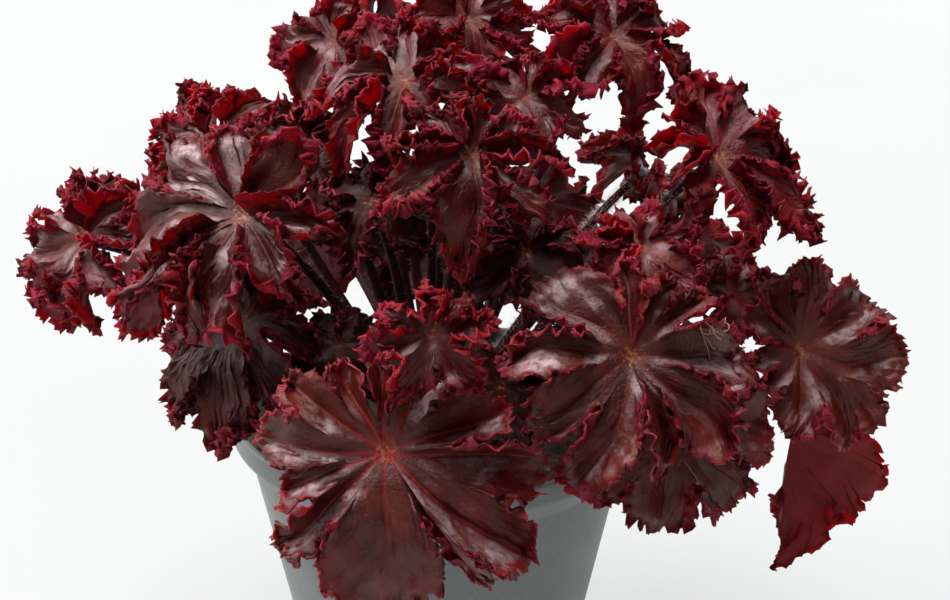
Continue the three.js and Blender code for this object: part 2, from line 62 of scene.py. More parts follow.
# face: the azimuth and elevation that the blade looks to. turn: of its middle lobe, from straight down.
# size: from the hub to that lobe's tip. base: from hub to edge at the slit. teeth: waves in a lobe's rim.
# fold: the angle that its halves are folded by. Base, cut, droop, pleat and frill are shares of the size.
KEYS = "name hub face turn size base lobes teeth cut droop pleat frill fold".split()
LEAVES = [
    ("front_low", (-12, -112, 155), (-6, 22), 11, 51, 0.6, 12, 3, 0.32, 0.2, 0.25, 0.05, 0),
    ("front_young", (1, -117, 193), (0, 22), -15, 22, 0.7, 7, 3, 0.36, 0.15, 0.3, 0.12, 0),
    ("front_right", (56, -94, 176), (10, 30), -15, 45, 0.82, 10, 5, 0.36, 0.25, 0.26, 0.06, 0),
    ("right_low", (71, -66, 145), (25, 18), 25, 44, 0.65, 9, 3, 0.32, 0.15, 0.18, 0.07, 0),
    ("front_under", (20, -74, 158), (0, 12), 0, 23, 0.7, 7, 3, 0.3, 0.2, 0.2, 0.12, 0),
    ("left_low", (-58, -46, 166), (-40, 50), -30, 41, 0.6, 9, 3, 0.34, 0.3, 0.14, 0.09, 0),
    ("right_far", (116, -26, 148), (10, 25), 75, 42, 0.55, 9, 3, 0.32, 0.12, 0.2, 0.065, 0),
    ("right_hang", (120, 2, 104), (-45, 0), 2, 47, 0.6, 7, 3, 0.25, 0.05, 0.1, 0.06, -62),
    ("right_mid", (98, 14, 152), (45, 35), 10, 26, 0.7, 7, 3, 0.36, 0.2, 0.2, 0.1, 0),
    ("right_high", (87, -16, 209), (20, 50), 85, 47, 0.36, 9, 3, 0.44, 0.32, 0.22, 0.1, 0),
    ("right_small", (62, -52, 192), (5, 55), 0, 24, 0.7, 7, 3, 0.4, 0.2, 0.25, 0.12, 0),
    ("left_big", (-56, -50, 202), (-25, 42), -75, 56, 0.58, 9, 5, 0.46, 0.2, 0.24, 0.08, 0),
    ("left_far", (-116, 10, 172), (-50, 35), -15, 39, 0.7, 9, 3, 0.42, 0.35, 0.22, 0.11, 0),
    ("left_back", (-78, 46, 192), (-40, 40), 0, 40, 0.8, 9, 3, 0.42, 0.3, 0.2, 0.1, 0),
    ("top_left", (-9, -12, 232), (-15, 60), -85, 38, 0.65, 9, 3, 0.46, 0.3, 0.26, 0.1, 0),
    ("top_left_back", (-34, 38, 232), (-25, 45), -20, 29, 0.7, 7, 3, 0.44, 0.25, 0.25, 0.1, 0),
    ("centre_high", (12, -64, 225), (0, 45), 0, 36, 0.75, 9, 3, 0.52, 0.25, 0.3, 0.1, 0),
    ("top_right", (57, 22, 238), (20, 50), 10, 33, 0.75, 9, 3, 0.46, 0.3, 0.26, 0.1, 0),
    ("top_mid", (10, 44, 238), (5, 50), 0, 29, 0.7, 7, 3, 0.44, 0.25, 0.26, 0.1, 0),
    ("upper_mid", (28, -11, 227), (10, 50), 0, 25, 0.7, 7, 3, 0.44, 0.25, 0.28, 0.11, 0),
    ("mid_left", (-20, -29, 199), (-15, 45), 0, 25, 0.7, 7, 3, 0.4, 0.2, 0.28, 0.11, 0),
    ("mid_back", (-42, 5, 207), (-30, 50), 0, 25, 0.7, 7, 3, 0.4, 0.2, 0.28, 0.11, 0),
    ("mid_centre", (28, -45, 188), (10, 45), 0, 26, 0.7, 7, 3, 0.4, 0.2, 0.28, 0.11, 0),
    ("deep_left", (-29, -49, 160), (-5, 40), 0, 20, 0.7, 7, 3, 0.3, 0.2, 0.2, 0.1, 0),
    ("deep_right", (46, 6, 160), (15, 40), 0, 24, 0.7, 7, 3, 0.3, 0.2, 0.2, 0.1, 0),
    ("deep_back", (5, 54, 158), (0, 38), 0, 38, 0.7, 9, 3, 0.3, 0.25, 0.2, 0.09, 0),
    ("back_right_high", (72, 58, 180), (110, 50), 0, 38, 0.7, 9, 3, 0.36, 0.3, 0.2, 0.1, 0),
    ("back_right_low", (104, 70, 140), (115, 30), 0, 36, 0.7, 7, 3, 0.34, 0.3, 0.2, 0.1, 0),
    ("back_low", (34, 112, 150), (172, 35), 0, 42, 0.7, 9, 3, 0.34, 0.3, 0.18, 0.1, 0),
    ("back_left_low", (-42, 98, 142), (205, 25), 0, 42, 0.7, 9, 3, 0.32, 0.3, 0.16, 0.09, 0),
    ("back_left", (-98, 66, 144), (240, 35), 0, 37, 0.7, 7, 3, 0.34, 0.3, 0.18, 0.09, 0),
    ("back_top", (-22, 70, 231), (190, 60), 0, 31, 0.7, 7, 3, 0.38, 0.3, 0.25, 0.1, 0),
]

# cuts placed one by one: degrees from the middle lobe, depth, and for some how blunt the lobes beside them
# are
PLACED_CUTS = {
    "front_low": [
        (-157, 0.5), (-124, 0.24), (-90, 0.38), (-61, 0.18), (-34, 0.16), (-23, 0.5), (44, 0.4),
        (66, 0.3), (88, 0.42, 2.5), (121, 0.12), (150, 0.3),
    ],
    "front_right": [
        (-150, 0.28), (-131, 0.48), (-81, 0.5), (-38, 0.5), (-15, 0.6, 3), (26, 0.4), (66, 0.42, 3),
        (101, 0.45), (150, 0.42),
    ],
    "left_big": [
        (-145, 0.32), (-109, 0.6), (-72, 0.4), (-46, 0.5), (-25, 0.62), (23, 0.6), (65, 0.68),
        (118, 0.6),
    ],
    "centre_high": [
        (-140, 0.6), (-104, 0.68), (-63, 0.62), (-29, 0.68), (38, 0.68), (84, 0.62), (119, 0.64),
        (150, 0.6),
    ],
}
# the lengths of some leaves' lobes, as shares of the plain outline
PLACED_LOBES = {
    "front_low": [0.94, 1, 1, 1.07, 1.12, 1.03, 1.03, 1.03, 0.78, 1.08, 1.12, 0.94],
    "front_right": [0.76, 0.82, 0.94, 0.96, 0.82, 0.96, 0.86, 0.9, 0.92, 0.8],
    "left_big": [1, 0.94, 0.97, 0.84, 0.96, 1, 0.94, 0.76, 0.88],
    "centre_high": [0.7, 0.78, 0.9, 0.87, 0.92, 1.02, 0.9, 0.82, 0.78],
    "right_far": [1, 1, 0.95, 0.9, 0.92, 0.92, 0.88, 0.7, 0.75],
}
LEAVES = [SimpleNamespace(**dict(zip(KEYS, row)), seed=i + 1) for i, row in enumerate(LEAVES)]


# ---- helpers
def chance(seed, index):
    """A repeatable number from 0 to 1 for a seed and an index or array of them, from 0 up for each use."""
    x = np.sin(seed * 12.9898 + np.asarray(index, float) * 78.233) * 43758.5453
    return x - np.floor(x)


def smoothstep(x, low, high):
    """From 0 at low to 1 at high, level at both ends."""
    t = np.clip((x - low) / (high - low), 0, 1)
    return t * t * (3 - 2 * t)


def unit(v, least=0.0):
    """Vectors at length 1, or shorter where they are shorter than the least length."""
    return v / np.maximum(norm(v, axis=-1, keepdims=True), least)


def new_mesh(name, vertices, faces, materials, material_of=None, values=None):
    """A mesh object from vertices in millimetres and triangles, with named values for the vertices."""
    mesh = bpy.data.meshes.new(name)
    mesh.from_pydata(np.asarray(vertices, np.float32) * MM, [], faces)
    if material_of is not None:
        mesh.polygons.foreach_set("material_index", np.asarray(material_of, np.int32))
    for material in materials:
        mesh.materials.append(material)
    for key, data in (values or {}).items():
        layer = mesh.attributes.new(key, "FLOAT", "POINT")
        layer.data.foreach_set("value", np.asarray(data, np.float32))
    mesh.update()
    mesh.validate()
    mesh.shade_smooth()
    obj = bpy.data.objects.new(name, mesh)
    bpy.context.scene.collection.objects.link(obj)
    return obj


def quads(a, a1, b, b1):
    """Two triangles for each side between the points a and a1 of one row and b and b1 of the next."""
    return [np.stack([a, a1, b1], 1), np.stack([a, b1, b], 1)]


def rows_between(first_a, count_a, first_b, count_b):
    """Triangles between two rows of points, the second with as many gaps or twice as many."""
    i = np.arange(count_a - 1)
    a, a1 = first_a + i, first_a + i + 1
    if count_b == count_a:
        return np.concatenate(quads(a, a1, first_b + i, first_b + i + 1))
    b, m, b1 = first_b + 2 * i, first_b + 2 * i + 1, first_b + 2 * i + 2
    return np.concatenate([np.stack([a, m, b], 1), np.stack([a, a1, m], 1), np.stack([a1, b1, m], 1)])


def ring_walls(rings, sides):
    """Triangles between closed rings of points, one ring after the other."""
    k = np.arange(sides)
    k1 = (k + 1) % sides
    walls = []
    for a in range(0, (rings - 1) * sides, sides):
        walls += quads(a + k, a + k1, a + sides + k, a + sides + k1)
    return np.concatenate(walls)


def tube(points, radii, sides, grooves=0.0):
    """A closed tube along points. Returns its vertices, its triangles and the way out at each vertex."""
    tangents = unit(np.gradient(points, axis=0))
    vertices, outs = [], []
    reference = unit(np.array([0.3, 0.2, 1.0]))
    angles = np.linspace(0, 2 * pi, sides, endpoint=False)
    for point, tangent, radius in zip(points, tangents, radii):
        u = unit(reference - tangent * (reference @ tangent))
        v = np.cross(tangent, u)
        reference = u
        out = np.cos(angles)[:, None] * u + np.sin(angles)[:, None] * v
        ribbed = radius * (1 + grooves * np.cos(4 * angles))[:, None]
        vertices.append(point + out * ribbed)
        outs.append(out)
    m = np.arange(1, sides - 1)
    last = (len(points) - 1) * sides
    ends = [np.stack([0 * m, m + 1, m], 1), np.stack([last + 0 * m, last + m, last + m + 1], 1)]
    faces = np.concatenate([ring_walls(len(points), sides), *ends])
    return np.concatenate(vertices), faces, np.concatenate(outs)


# ---- the form of a leaf, as in the solids
def cuts_of(leaf):
    """Angle, depth, ridge (up or down) and power (how blunt its lobes are) of each cut, slit to slit."""
    seed, lobes = leaf.seed, leaf.lobes
    i = np.arange(lobes + 1)
    uneven = np.where((i > 0) & (i < lobes), 0.25 * (chance(seed, 10 + i) - 0.5) / lobes, 0)
    angle = SLIT * (2 * (i / lobes - 0.035 * np.sin(2 * pi * i / lobes) + uneven) - 1)
    depth = leaf.cut * (0.5 + chance(seed, 60 + i))
    power = np.full(lobes + 1, 4.0)
    placed = PLACED_CUTS.get(leaf.name)
    if placed:
        angle[1:-1] = np.radians([cut[0] for cut in placed])
        depth[1:-1] = [cut[1] for cut in placed]
        power[1:-1] = [cut[2] if len(cut) > 2 else 4 for cut in placed]
    return angle, depth, -0.1 + 1.6 * chance(seed, 80 + i), power


def prepare(leaf):
    """Add to a leaf its cuts, how far it is frilled to lace, how spiky that is, 0 to 1, and a phase."""
    leaf.cuts, leaf.depths, leaf.ridges, leaf.powers = cuts_of(leaf)
    leaf.frilly = float(smoothstep(leaf.frill, 0.05, 0.1))
    leaf.spiky = float(smoothstep(leaf.frill, 0.08, 0.1))
    leaf.phase = FULL_TURN * float(chance(leaf.seed, 21))
    leaf.hub = np.array(leaf.hub, float)


def lobe_at(leaf, angle):
    """Which lobe an angle falls in, how far from its middle vein, -1 to 1, and how far round in lobes."""
    cuts = leaf.cuts
    lobe = np.clip(np.searchsorted(cuts, angle, "right") - 1, 0, leaf.lobes - 1)
    share = (angle - cuts[lobe]) / (cuts[lobe + 1] - cuts[lobe])
    return lobe, 2 * share - 1, lobe + share


def lobe_lengths(leaf):
    by_rule = 0.88 + 0.24 * chance(leaf.seed, np.arange(leaf.lobes))
    return np.array(PLACED_LOBES.get(leaf.name, by_rule))


def per_lobe(numbers, lobe, across):
    """A number of each lobe, which passes smoothly from one lobe to the next."""
    beside = np.clip(lobe + np.sign(across), 0, len(numbers) - 1).astype(int)
    return numbers[lobe] + 0.5 * (numbers[beside] - numbers[lobe]) * smoothstep(np.abs(across), 0.2, 1)


def from_tip(leaf, angle, teeth):
    """How far an angle is from its tooth's tip, 0, to the cut beside it, 1, and a chance number per tooth."""
    lobe, across, _ = lobe_at(leaf, angle)
    phase = across * teeth / 2 + 0.5
    tooth = np.floor(phase)
    return np.abs(phase - tooth - 0.5) * 2, chance(leaf.seed, 2000 + 31 * lobe + tooth)


def swept(leaf, angle, share):
    """The angle at which a point is drawn, where each lobe bends a little to one side."""
    lobe, across, _ = lobe_at(leaf, angle)
    bend = 0.9 * SLIT / leaf.lobes * (chance(leaf.seed, 120 + lobe) - 0.5)
    return angle + bend * share**2 * (1 - across**2)


def form(leaf, angle, share, reach):
    """How far out a point of the blade lies, and how high, as shares of the leaf's size.

    The rim waves as in the solids, and the blade inside it is smoother.
    """
    lobe, across, along = lobe_at(leaf, angle)
    phase = 2 * pi * float(chance(leaf.seed, 20))
    between = np.abs(np.sin(pi / 2 * across))
    ridge = leaf.ridges[lobe + (across > 0)]
    sway = 0.6 * np.sin(2 * angle + phase) + 0.4 * np.sin(3 * angle + 2 * phase)
    droop = leaf.droop * (1 + 0.6 * sway)
    tilts = 0.55 * (chance(leaf.seed, 40 + np.arange(leaf.lobes)) - 0.5)
    tilt = per_lobe(tilts, lobe, across)
    collar = leaf.pleat * between**4 * smoothstep(share, 0.5, 1)
    wave = np.sin(pi * along * leaf.teeth + phase) * smoothstep(share, 0.68, 1)
    height = (
        BLADE.arch * 4 * reach * (1 - reach) ** 2
        + leaf.pleat * reach**1.3 * (ridge * between**1.2 * smoothstep(reach, 0.0, 0.22) - 0.4)
        + 0.5 * collar
        + leaf.frill * wave * (0.8 + 0.4 * np.sin(1.7 * along + phase))
        + tilt * reach**2
        - droop * reach**2.4
    )
    pulled = reach * (1 - 0.35 * droop * reach**2) - 0.25 * collar
    return pulled, height


def leaf_axes(leaf):
    """The blade's own directions: across, along its middle lobe, and out of its upper face."""
    azimuth, elevation = map(radians, leaf.face)
    level = np.array([sin(azimuth), -cos(azimuth), 0])
    up = np.array([0, 0, 1.0])
    out = level * cos(elevation) + up * sin(elevation)
    down = level * sin(elevation) - up * cos(elevation)
    side = np.cross(out, down)
    turn = radians(leaf.turn)
    along = down * cos(turn) + side * sin(turn)
    return np.cross(along, out), along, out


def stalk_feet():
    """Where the stalks stand on the crown, as in the solids."""
    feet = []
    for leaf in LEAVES:
        towards = unit(leaf.hub - [0, 0, CROWN.foot])
        towards[2] = max(0.35, towards[2] * 1.1 - 0.1)
        feet.append(unit(towards))
    apart = CROWN.spacing / CROWN.radius
    for _ in range(60):
        for i in range(len(feet)):
            for j in range(i + 1, len(feet)):
                between = feet[j] - feet[i]
                length = norm(between)
                if length < apart:
                    push = between / length * (apart - length) * 0.5
                    feet[i] = feet[i] - push
                    feet[j] = feet[j] + push
            feet[i][2] = max(0.35, feet[i][2])
            feet[i] = unit(feet[i])
    return feet


def stalk_curve(leaf, foot, axes):
    """The four control points of a stalk, from the crown to the hub of its blade."""
    dome = [CROWN.radius, CROWN.radius, CROWN.height]
    normal = unit(foot / dome)
    start = foot * dome + [0, 0, CROWN.foot] + normal * GAP
    end = leaf.hub - axes[2] * 0.5 * BLADE.hub
    length = norm(end - start)
    arrival = unit(unit(end - start) * 0.5 + axes[2] * 0.5 + axes[1] * 0.35)
    return start, start + normal * 0.35 * length, end - arrival * 0.3 * length, end


def bezier(controls, t):
    a, b, c, d = controls
    t = t[:, None]
    return a * (1 - t) ** 3 + 3 * b * t * (1 - t) ** 2 + 3 * c * t * t * (1 - t) + d * t**3


# ---- the fine leaf
EDGE_SAMPLES = 12001
TOOTH_PITCH = 1.7
LOBULES = 9
SLIT_POINTS = 30
BLOCK = 2000
NEARLY_FLAT = 1e-4
LEAST_BAND = 0.5
# where rows of points lie: the inner ones as shares of the way out, the outer ones in mm from the edge
INNER_SHARES = (0.05, 0.12, 0.2, 0.28, 0.36, 0.44, 0.52, 0.6, 0.68, 0.75, 0.81, 0.86)
RIM_ROWS = (6.6, 4.9, 3.7, 2.8, 2.0, 1.3, 0.65, 0)


def ruffle(leaf):
    """How strongly the edge rolls up and down, how long its waves are, and how wide its band is, in mm."""
    frilly, spiky = leaf.frilly, leaf.spiky
    strength = 0.75 + 0.65 * frilly + 0.35 * spiky
    pitch = (3.4 + 0.07 * leaf.size) * (1 - 0.42 * frilly + 0.1 * spiky)
    return strength, pitch, (0.55 + 0.13 * frilly) * pitch


def fine_length(leaf, angle):
    """The edge of the fine blade: lobes and lobules, with narrower cuts in the plainer leaves."""
    frilly, spiky = leaf.frilly, leaf.spiky
    lobe, across, _ = lobe_at(leaf, angle)
    off_middle = np.abs(across)
    outline = leaf.base + (1 - leaf.base) * np.cos(angle / 2) ** 2
    of_lobe = per_lobe(lobe_lengths(leaf), lobe, across)
    blunt = leaf.powers[lobe + (across > 0)] / 4
    of_cut = np.minimum(leaf.depths[lobe + (across > 0)] * (1.05 + 0.25 * frilly), 0.74)
    narrow = 0.4 * off_middle ** (3 * blunt) + 0.6 * off_middle ** (9 * blunt)
    wide = (0.5 + 0.2 * spiky) * off_middle**2.2 + (0.5 - 0.2 * spiky) * off_middle**6
    rounded_off = narrow + (wide - narrow) * frilly
    tooth, _ = from_tip(leaf, angle, leaf.teeth)
    lobule, drawn = from_tip(leaf, angle, LOBULES)
    lobules = 1 - (0.04 + 0.01 * frilly) * tooth
    lobules -= (0.04 + 0.04 * frilly) * (0.3 + 1.4 * drawn) * lobule**1.2
    return outline * of_lobe * (1 - of_cut * rounded_off) * lobules


def edge_teeth(leaf, most):
    """Two points for each fine tooth round the edge: their angles, and how far each stands out in mm."""
    seed, frilly, spiky = leaf.seed, leaf.frilly, leaf.spiky
    angle = np.linspace(-SLIT, SLIT, EDGE_SAMPLES)
    length = fine_length(leaf, angle) * leaf.size
    x, y = length * np.sin(angle), length * np.cos(angle)
    passed = np.concatenate([[0], np.cumsum(np.hypot(np.diff(x), np.diff(y)))])
    round_edge = passed[-1]
    teeth = 4 * round(min(round_edge / (TOOTH_PITCH - 0.4 * frilly), most) / 4)
    k = np.arange(teeth + 1)
    cuts = (k + 0.5 * (chance(seed, 300 + k) - 0.5)) / teeth * round_edge
    cuts[0], cuts[-1] = 0, round_edge
    start, end, k = cuts[:-1], cuts[1:], k[:-1]
    tip = start + (0.35 + 0.35 * chance(seed, 900 + k)) * (end - start)
    long = (0.45 + 0.2 * frilly + 0.1 * spiky) * (0.4 + 1.2 * chance(seed, 600 + k))
    long *= 1 + (0.5 + 0.1 * spiky) * (chance(seed, 1600 + k) > 0.78)
    long *= min(1.0, leaf.size / 30)
    points = np.append(np.stack([start, tip], 1).ravel(), round_edge)
    stand = np.append(np.stack([-0.3 * long, long], 1).ravel(), 0)
    return np.interp(points, passed, angle), stand


def vertex_normals(vertices, faces):
    corners = vertices[faces]
    of_face = np.cross(corners[:, 1] - corners[:, 0], corners[:, 2] - corners[:, 0])
    normals = np.zeros_like(vertices)
    for k in range(3):
        np.add.at(normals, faces[:, k], of_face)
    return unit(normals, 1e-9)


def from_edge(points, loop, fields, reach_out, blend):
    """Distance to the edge, its nearest point, and its values carried inwards, blended where sides meet."""
    distance = np.empty(len(points))
    nearest = np.empty(len(points), int)
    carried = np.zeros((len(points), fields.shape[1]))
    for start in range(0, len(points), BLOCK):
        block = slice(start, start + BLOCK)
        d2 = ((points[block, None] - loop) ** 2).sum(2)
        least = d2.min(1)
        distance[block], nearest[block] = np.sqrt(least), d2.argmin(1)
        near = np.flatnonzero(least < reach_out**2)
        if len(near):
            weight = np.exp((least[near, None] - d2[near]) / blend**2)
            carried[start + near] = weight @ fields / weight.sum(1, keepdims=True)
    return distance, nearest, carried


def blade_rows(leaf, edge_angles):
    """Rows of points from the hub out, ever finer: the first point and count of each, angles and shares."""
    rim_shares = 1 - np.array(RIM_ROWS) / (0.85 * leaf.size)
    inner_shares = [s for s in INNER_SHARES if s < rim_shares[0] - 0.03]
    rows, angle, share = [(0, 1)], [np.zeros(1)], [np.zeros(1)]
    first = 1
    for s in [*inner_shares, *rim_shares]:
        step = 8 if s < 0.15 else 4 if s < 0.3 else 2 if s < rim_shares[0] else 1
        picked = edge_angles[::step]
        rows.append((first, len(picked)))
        angle.append(picked)
        share.append(np.full(len(picked), s))
        first += len(picked)
    return rows, np.concatenate(angle), np.concatenate(share)


def blade_faces(rows):
    """Triangles between the rows, and the points round the blade's border, in order."""
    (first, count), (edge, edge_count) = rows[1], rows[-1]
    i = np.arange(count - 1)
    faces = [np.stack([0 * i, first + i + 1, first + i], 1)]
    faces += [rows_between(*row, *after) for row, after in zip(rows[1:], rows[2:])]
    border = [0] + [r[0] for r in rows[1:]] + list(range(edge + 1, edge + edge_count - 1))
    border += [r[0] + r[1] - 1 for r in rows[:0:-1]]
    return np.concatenate(faces), np.array(border)


def drawn_angles(leaf, angle, share):
    """Where round the hub points are drawn, and how far each is on the shoulder of a lobe, 0 to 1.

    The shoulders reach over the cuts beside them, and the veins bend to one side and back.
    """
    seed, lobes = leaf.seed, leaf.lobes
    lobe, across, _ = lobe_at(leaf, angle)
    half = 0.5 * np.diff(leaf.cuts)[lobe]
    at_slit = ((lobe == 0) & (across < 0)) | ((lobe == lobes - 1) & (across > 0))
    shoulder = smoothstep(np.abs(across), 0.4, 0.84) * (1 - smoothstep(np.abs(across), 0.9, 1))
    shoulder = np.where(at_slit, 0, shoulder) * smoothstep(share, 0.55, 1) * (1 - 0.6 * leaf.frilly)
    least = -0.06 if leaf.name in PLACED_CUTS else 0.04
    widen = 0.2 * chance(seed, 800 + lobe + 40 * (across > 0)) + least
    drawn = swept(leaf, angle, share) + widen * half * shoulder * np.sign(across)
    for first, turns in ((500, 1), (540, 2)):
        aside = per_lobe(chance(seed, first + np.arange(lobes)) - 0.5, lobe, across)
        drawn += 1.1 / turns * SLIT / lobes * aside * np.sin(turns * pi * share)
    closed = radians(0.8 * BLADE.sinus_half)
    drawn += np.sign(angle) * closed * smoothstep(np.abs(angle), 2.0, SLIT)
    return drawn, shoulder


def edge_fields(leaf, rim, rim_across, stand):
    """The edge as a run of points from the hub out beside the slit, round and back in, and what each knows.

    The fields are its curl, small curl, sideways pull, band width and way out. Teeth come on their own.
    """
    frilly, spiky, phase = leaf.frilly, leaf.spiky, leaf.phase
    strength, pitch, band_width = ruffle(leaf)
    inward = np.linspace(0.97, 0.06, SLIT_POINTS)[:, None]
    loop = np.concatenate([rim[0] * inward[::-1], rim, rim[-1] * inward])
    none, whole = np.zeros(SLIT_POINTS), np.ones(SLIT_POINTS)
    at_slit = np.concatenate([whole, np.zeros(len(rim)), whole])
    at_cut = np.concatenate([none, np.abs(rim_across) ** 7, none])
    along = np.concatenate([[0], np.cumsum(norm(np.diff(loop, axis=0), axis=1))])
    kernel = np.ones(5) / 5
    tangent = np.stack([np.convolve(np.gradient(loop[:, k]), kernel, "same") for k in (0, 1)], 1)
    outward = unit(np.stack([-tangent[:, 1], tangent[:, 0]], 1) + 1e-12)
    radius = norm(loop, axis=1) / leaf.size
    grown = 0.12 + 0.88 * smoothstep(radius, 0.1, 0.55)
    wave = 2 * pi * along / pitch + 1.6 * np.sin(along / 7.1 + phase)
    wave += 0.9 * np.sin(along / 17 + 3 * phase)
    uneven = 0.75 + 0.3 * np.sin(along / 9.7 + 2 * phase) + 0.25 * np.sin(along / 23 + phase)
    lean = 0.2 + 0.7 * np.sin(along / 15 + 2 * phase)
    curl = strength * (lean + 1.2 * uneven * np.sin(wave)) + 0.15 * at_cut + 0.8 * at_slit
    curl *= smoothstep(radius, 0.04, 0.4)
    small_wave = 2 * pi * along / (2.6 - 0.5 * frilly) + 1.7 * np.sin(along / 4.3 + phase)
    small_curl = (0.15 + 0.6 * frilly + 0.4 * spiky) * np.sin(small_wave)
    small_curl = small_curl * (0.75 + 0.35 * np.sin(along / 6.1)) * grown
    sideways = np.sin(2 * wave) * strength * grown
    fields = np.stack([curl, small_curl, sideways, band_width * grown, *outward.T], 1)
    return loop, fields, np.concatenate([none, stand, none]) * grown


def veins(leaf, reach, off_vein, lobe, across, distance):
    """One vein down each lobe in a crease, and side veins that leave it towards the teeth.

    Returns how strongly each kind shows, the depth of the crease and the swelling between the side veins.
    """
    size = leaf.size
    main = np.exp(-((off_vein / (0.28 + 0.2 * np.maximum(0, 1 - reach))) ** 2))
    crease = 0.25 * np.exp(-((off_vein / 0.7) ** 2)) + 0.02 * size * np.exp(-off_vein / 2.6)
    crease *= smoothstep(reach, 0.12, 0.45) * np.maximum(0, 1 - 0.45 * reach)
    spread = off_vein / size
    chevron = (reach - 0.95 * spread) * 6.5 + 0.25 * np.sign(across) + chance(leaf.seed, 700 + lobe)
    beside = np.abs(chevron - np.round(chevron))
    away = smoothstep(off_vein, 0.6, 3.5) * smoothstep(distance, 0.5, 6)
    swelling = 0.011 * size * away * (np.sqrt(beside * 2) - 0.5) * smoothstep(reach, 0.2, 0.5)
    side = np.exp(-((beside / 0.05) ** 2)) * smoothstep(reach, 0.15, 0.3) * smoothstep(off_vein, 0.3, 1.5)
    return main, side, crease, swelling


def wandering(leaf, plan):
    """Slow rises and hollows of the blade, up to about a millimetre."""
    (x, y), phase = plan.T, leaf.phase
    slow = np.sin(x * 0.33 + phase) * np.sin(y * 0.29 + 2 * phase)
    return 1.1 * (slow + 0.5 * np.sin(x * 0.71 + 3 * phase) * np.sin(y * 0.83 + phase))


def roll_edge(vertices, normal, out, distance, waves):
    """The band along the edge, rolled about its inner line for each wave's angle, width and stretch."""
    for curl, width, stretch in waves:
        width = np.maximum(width, LEAST_BAND)
        t = np.clip(1 - distance / width, 0, 1)
        turn = np.where(np.abs(curl) < NEARLY_FLAT, NEARLY_FLAT, curl)
        turned = turn * t
        forward = width * (stretch * np.sin(turned) / turn - t)
        rise = stretch * width * (1 - np.cos(turned)) / turn
        vertices = vertices + out * forward[:, None] + normal * rise[:, None]
        ahead, up = np.cos(turned)[:, None], np.sin(turned)[:, None]
        out, normal = out * ahead + normal * up, normal * ahead - out * up
    return vertices, out


def fine_blade(leaf, most_teeth):
    """The blade's upper face in its own frame, what the material needs to know of it, and the ways out."""
    size, frilly = leaf.size, leaf.frilly
    _, pitch, band_width = ruffle(leaf)
    edge_angles, stand = edge_teeth(leaf, most_teeth)
    rows, angle, share = blade_rows(leaf, edge_angles)
    faces, border = blade_faces(rows)
    lobe, across, _ = lobe_at(leaf, angle)
    drawn, shoulder = drawn_angles(leaf, angle, share)
    reach = share * fine_length(leaf, angle)
    pulled, height = form(leaf, angle, share, reach)
    height = height + 0.028 * shoulder * np.where(lobe % 2 > 0, 1, -1)
    plan = np.stack([reach * np.sin(drawn), reach * np.cos(drawn)], 1) * size

    edge = rows[-1][0]
    loop, fields, tooth = edge_fields(leaf, plan[edge:], across[edge:], stand)
    distance, nearest, carried = from_edge(plan, loop, fields, 1.1 * band_width + 1, 0.8)
    tooth = tooth[nearest] * np.clip(1 - distance / 0.9, 0, 1)
    curl, small_curl, sideways, band = carried[:, :4].T
    outward = unit(carried[:, 4:6], 1e-6)

    radius = reach * size
    off_vein = radius * np.sin(np.abs(across) * (0.5 * np.diff(leaf.cuts)[lobe]))
    main, side, crease, swelling = veins(leaf, reach, off_vein, lobe, across, distance)
    x = pulled * np.sin(drawn) * size
    y = pulled * np.cos(drawn) * size
    z = height * size - crease + swelling + wandering(leaf, plan) * smoothstep(reach, 0.1, 0.5)
    fold = radians(leaf.fold)
    flat = np.stack([x * cos(fold), y, z + np.abs(x) * sin(fold)], 1)

    normal = vertex_normals(flat, faces)
    out = np.concatenate([outward, np.zeros((len(plan), 1))], 1)
    out = unit(out - normal * (out * normal).sum(1, keepdims=True), 1e-6)
    aside = np.cross(normal, out)
    waves = (
        (curl, band, 1.12 + 0.3 * frilly),
        (small_curl, band * (0.42 + 0.16 * frilly), 1.1 + 0.15 * frilly),
    )
    vertices, out = roll_edge(flat, normal, out, distance, waves)
    lift = ((vertices - flat) * normal).sum(1)
    t = np.clip(1 - distance / np.maximum(band, LEAST_BAND), 0, 1)
    vertices = vertices + aside * (-0.1 * pitch * sideways * t * t)[:, None]
    vertices = vertices + out * tooth[:, None]
    rim_line = 0.8 * np.exp(-((distance / (0.8 + 0.5 * frilly)) ** 2))
    crimson = rim_line + (0.15 + 0.75 * frilly) * smoothstep(t, 0.2, 0.75)
    values = {
        "edge": distance,
        "reach": reach,
        "main_vein": main,
        "side_vein": side,
        "off_vein": off_vein,
        "crimson": crimson * smoothstep(radius, 0.5, 4),
        "lift": np.clip(lift / 2, -1, 1),
    }
    return vertices, faces, border, values, out


# ---- a whole leaf
UPPER, LOWER, ON_STALK, PALE_HAIR, PINK_HAIR, DRY = range(6)
STALK_RINGS, STALK_SIDES = 34, 12
# length and thickness of a hair in mm
STALK_HAIR = (2.3, 0.09)
FRINGE_HAIR = (0.9, 0.07)
# the blade's values on stalk and hairs, where they aren't 0
OFF_BLADE = {"edge": 9.0, "off_vein": 9.0}
UP_IN_PHOTO = (0, 0.375, 0.927)
FIBRES, FIBRE_POINTS = 9, 14


class Parts:
    """The vertices, triangles and material numbers of a mesh, gathered part by part."""

    def __init__(self):
        self.vertices, self.faces, self.kinds, self.count = [], [], [], 0

    def add(self, vertices, faces, kind):
        self.vertices.append(vertices)
        self.faces.append(faces + self.count)
        self.kinds.append(np.broadcast_to(kind, len(faces)))
        self.count += len(vertices)


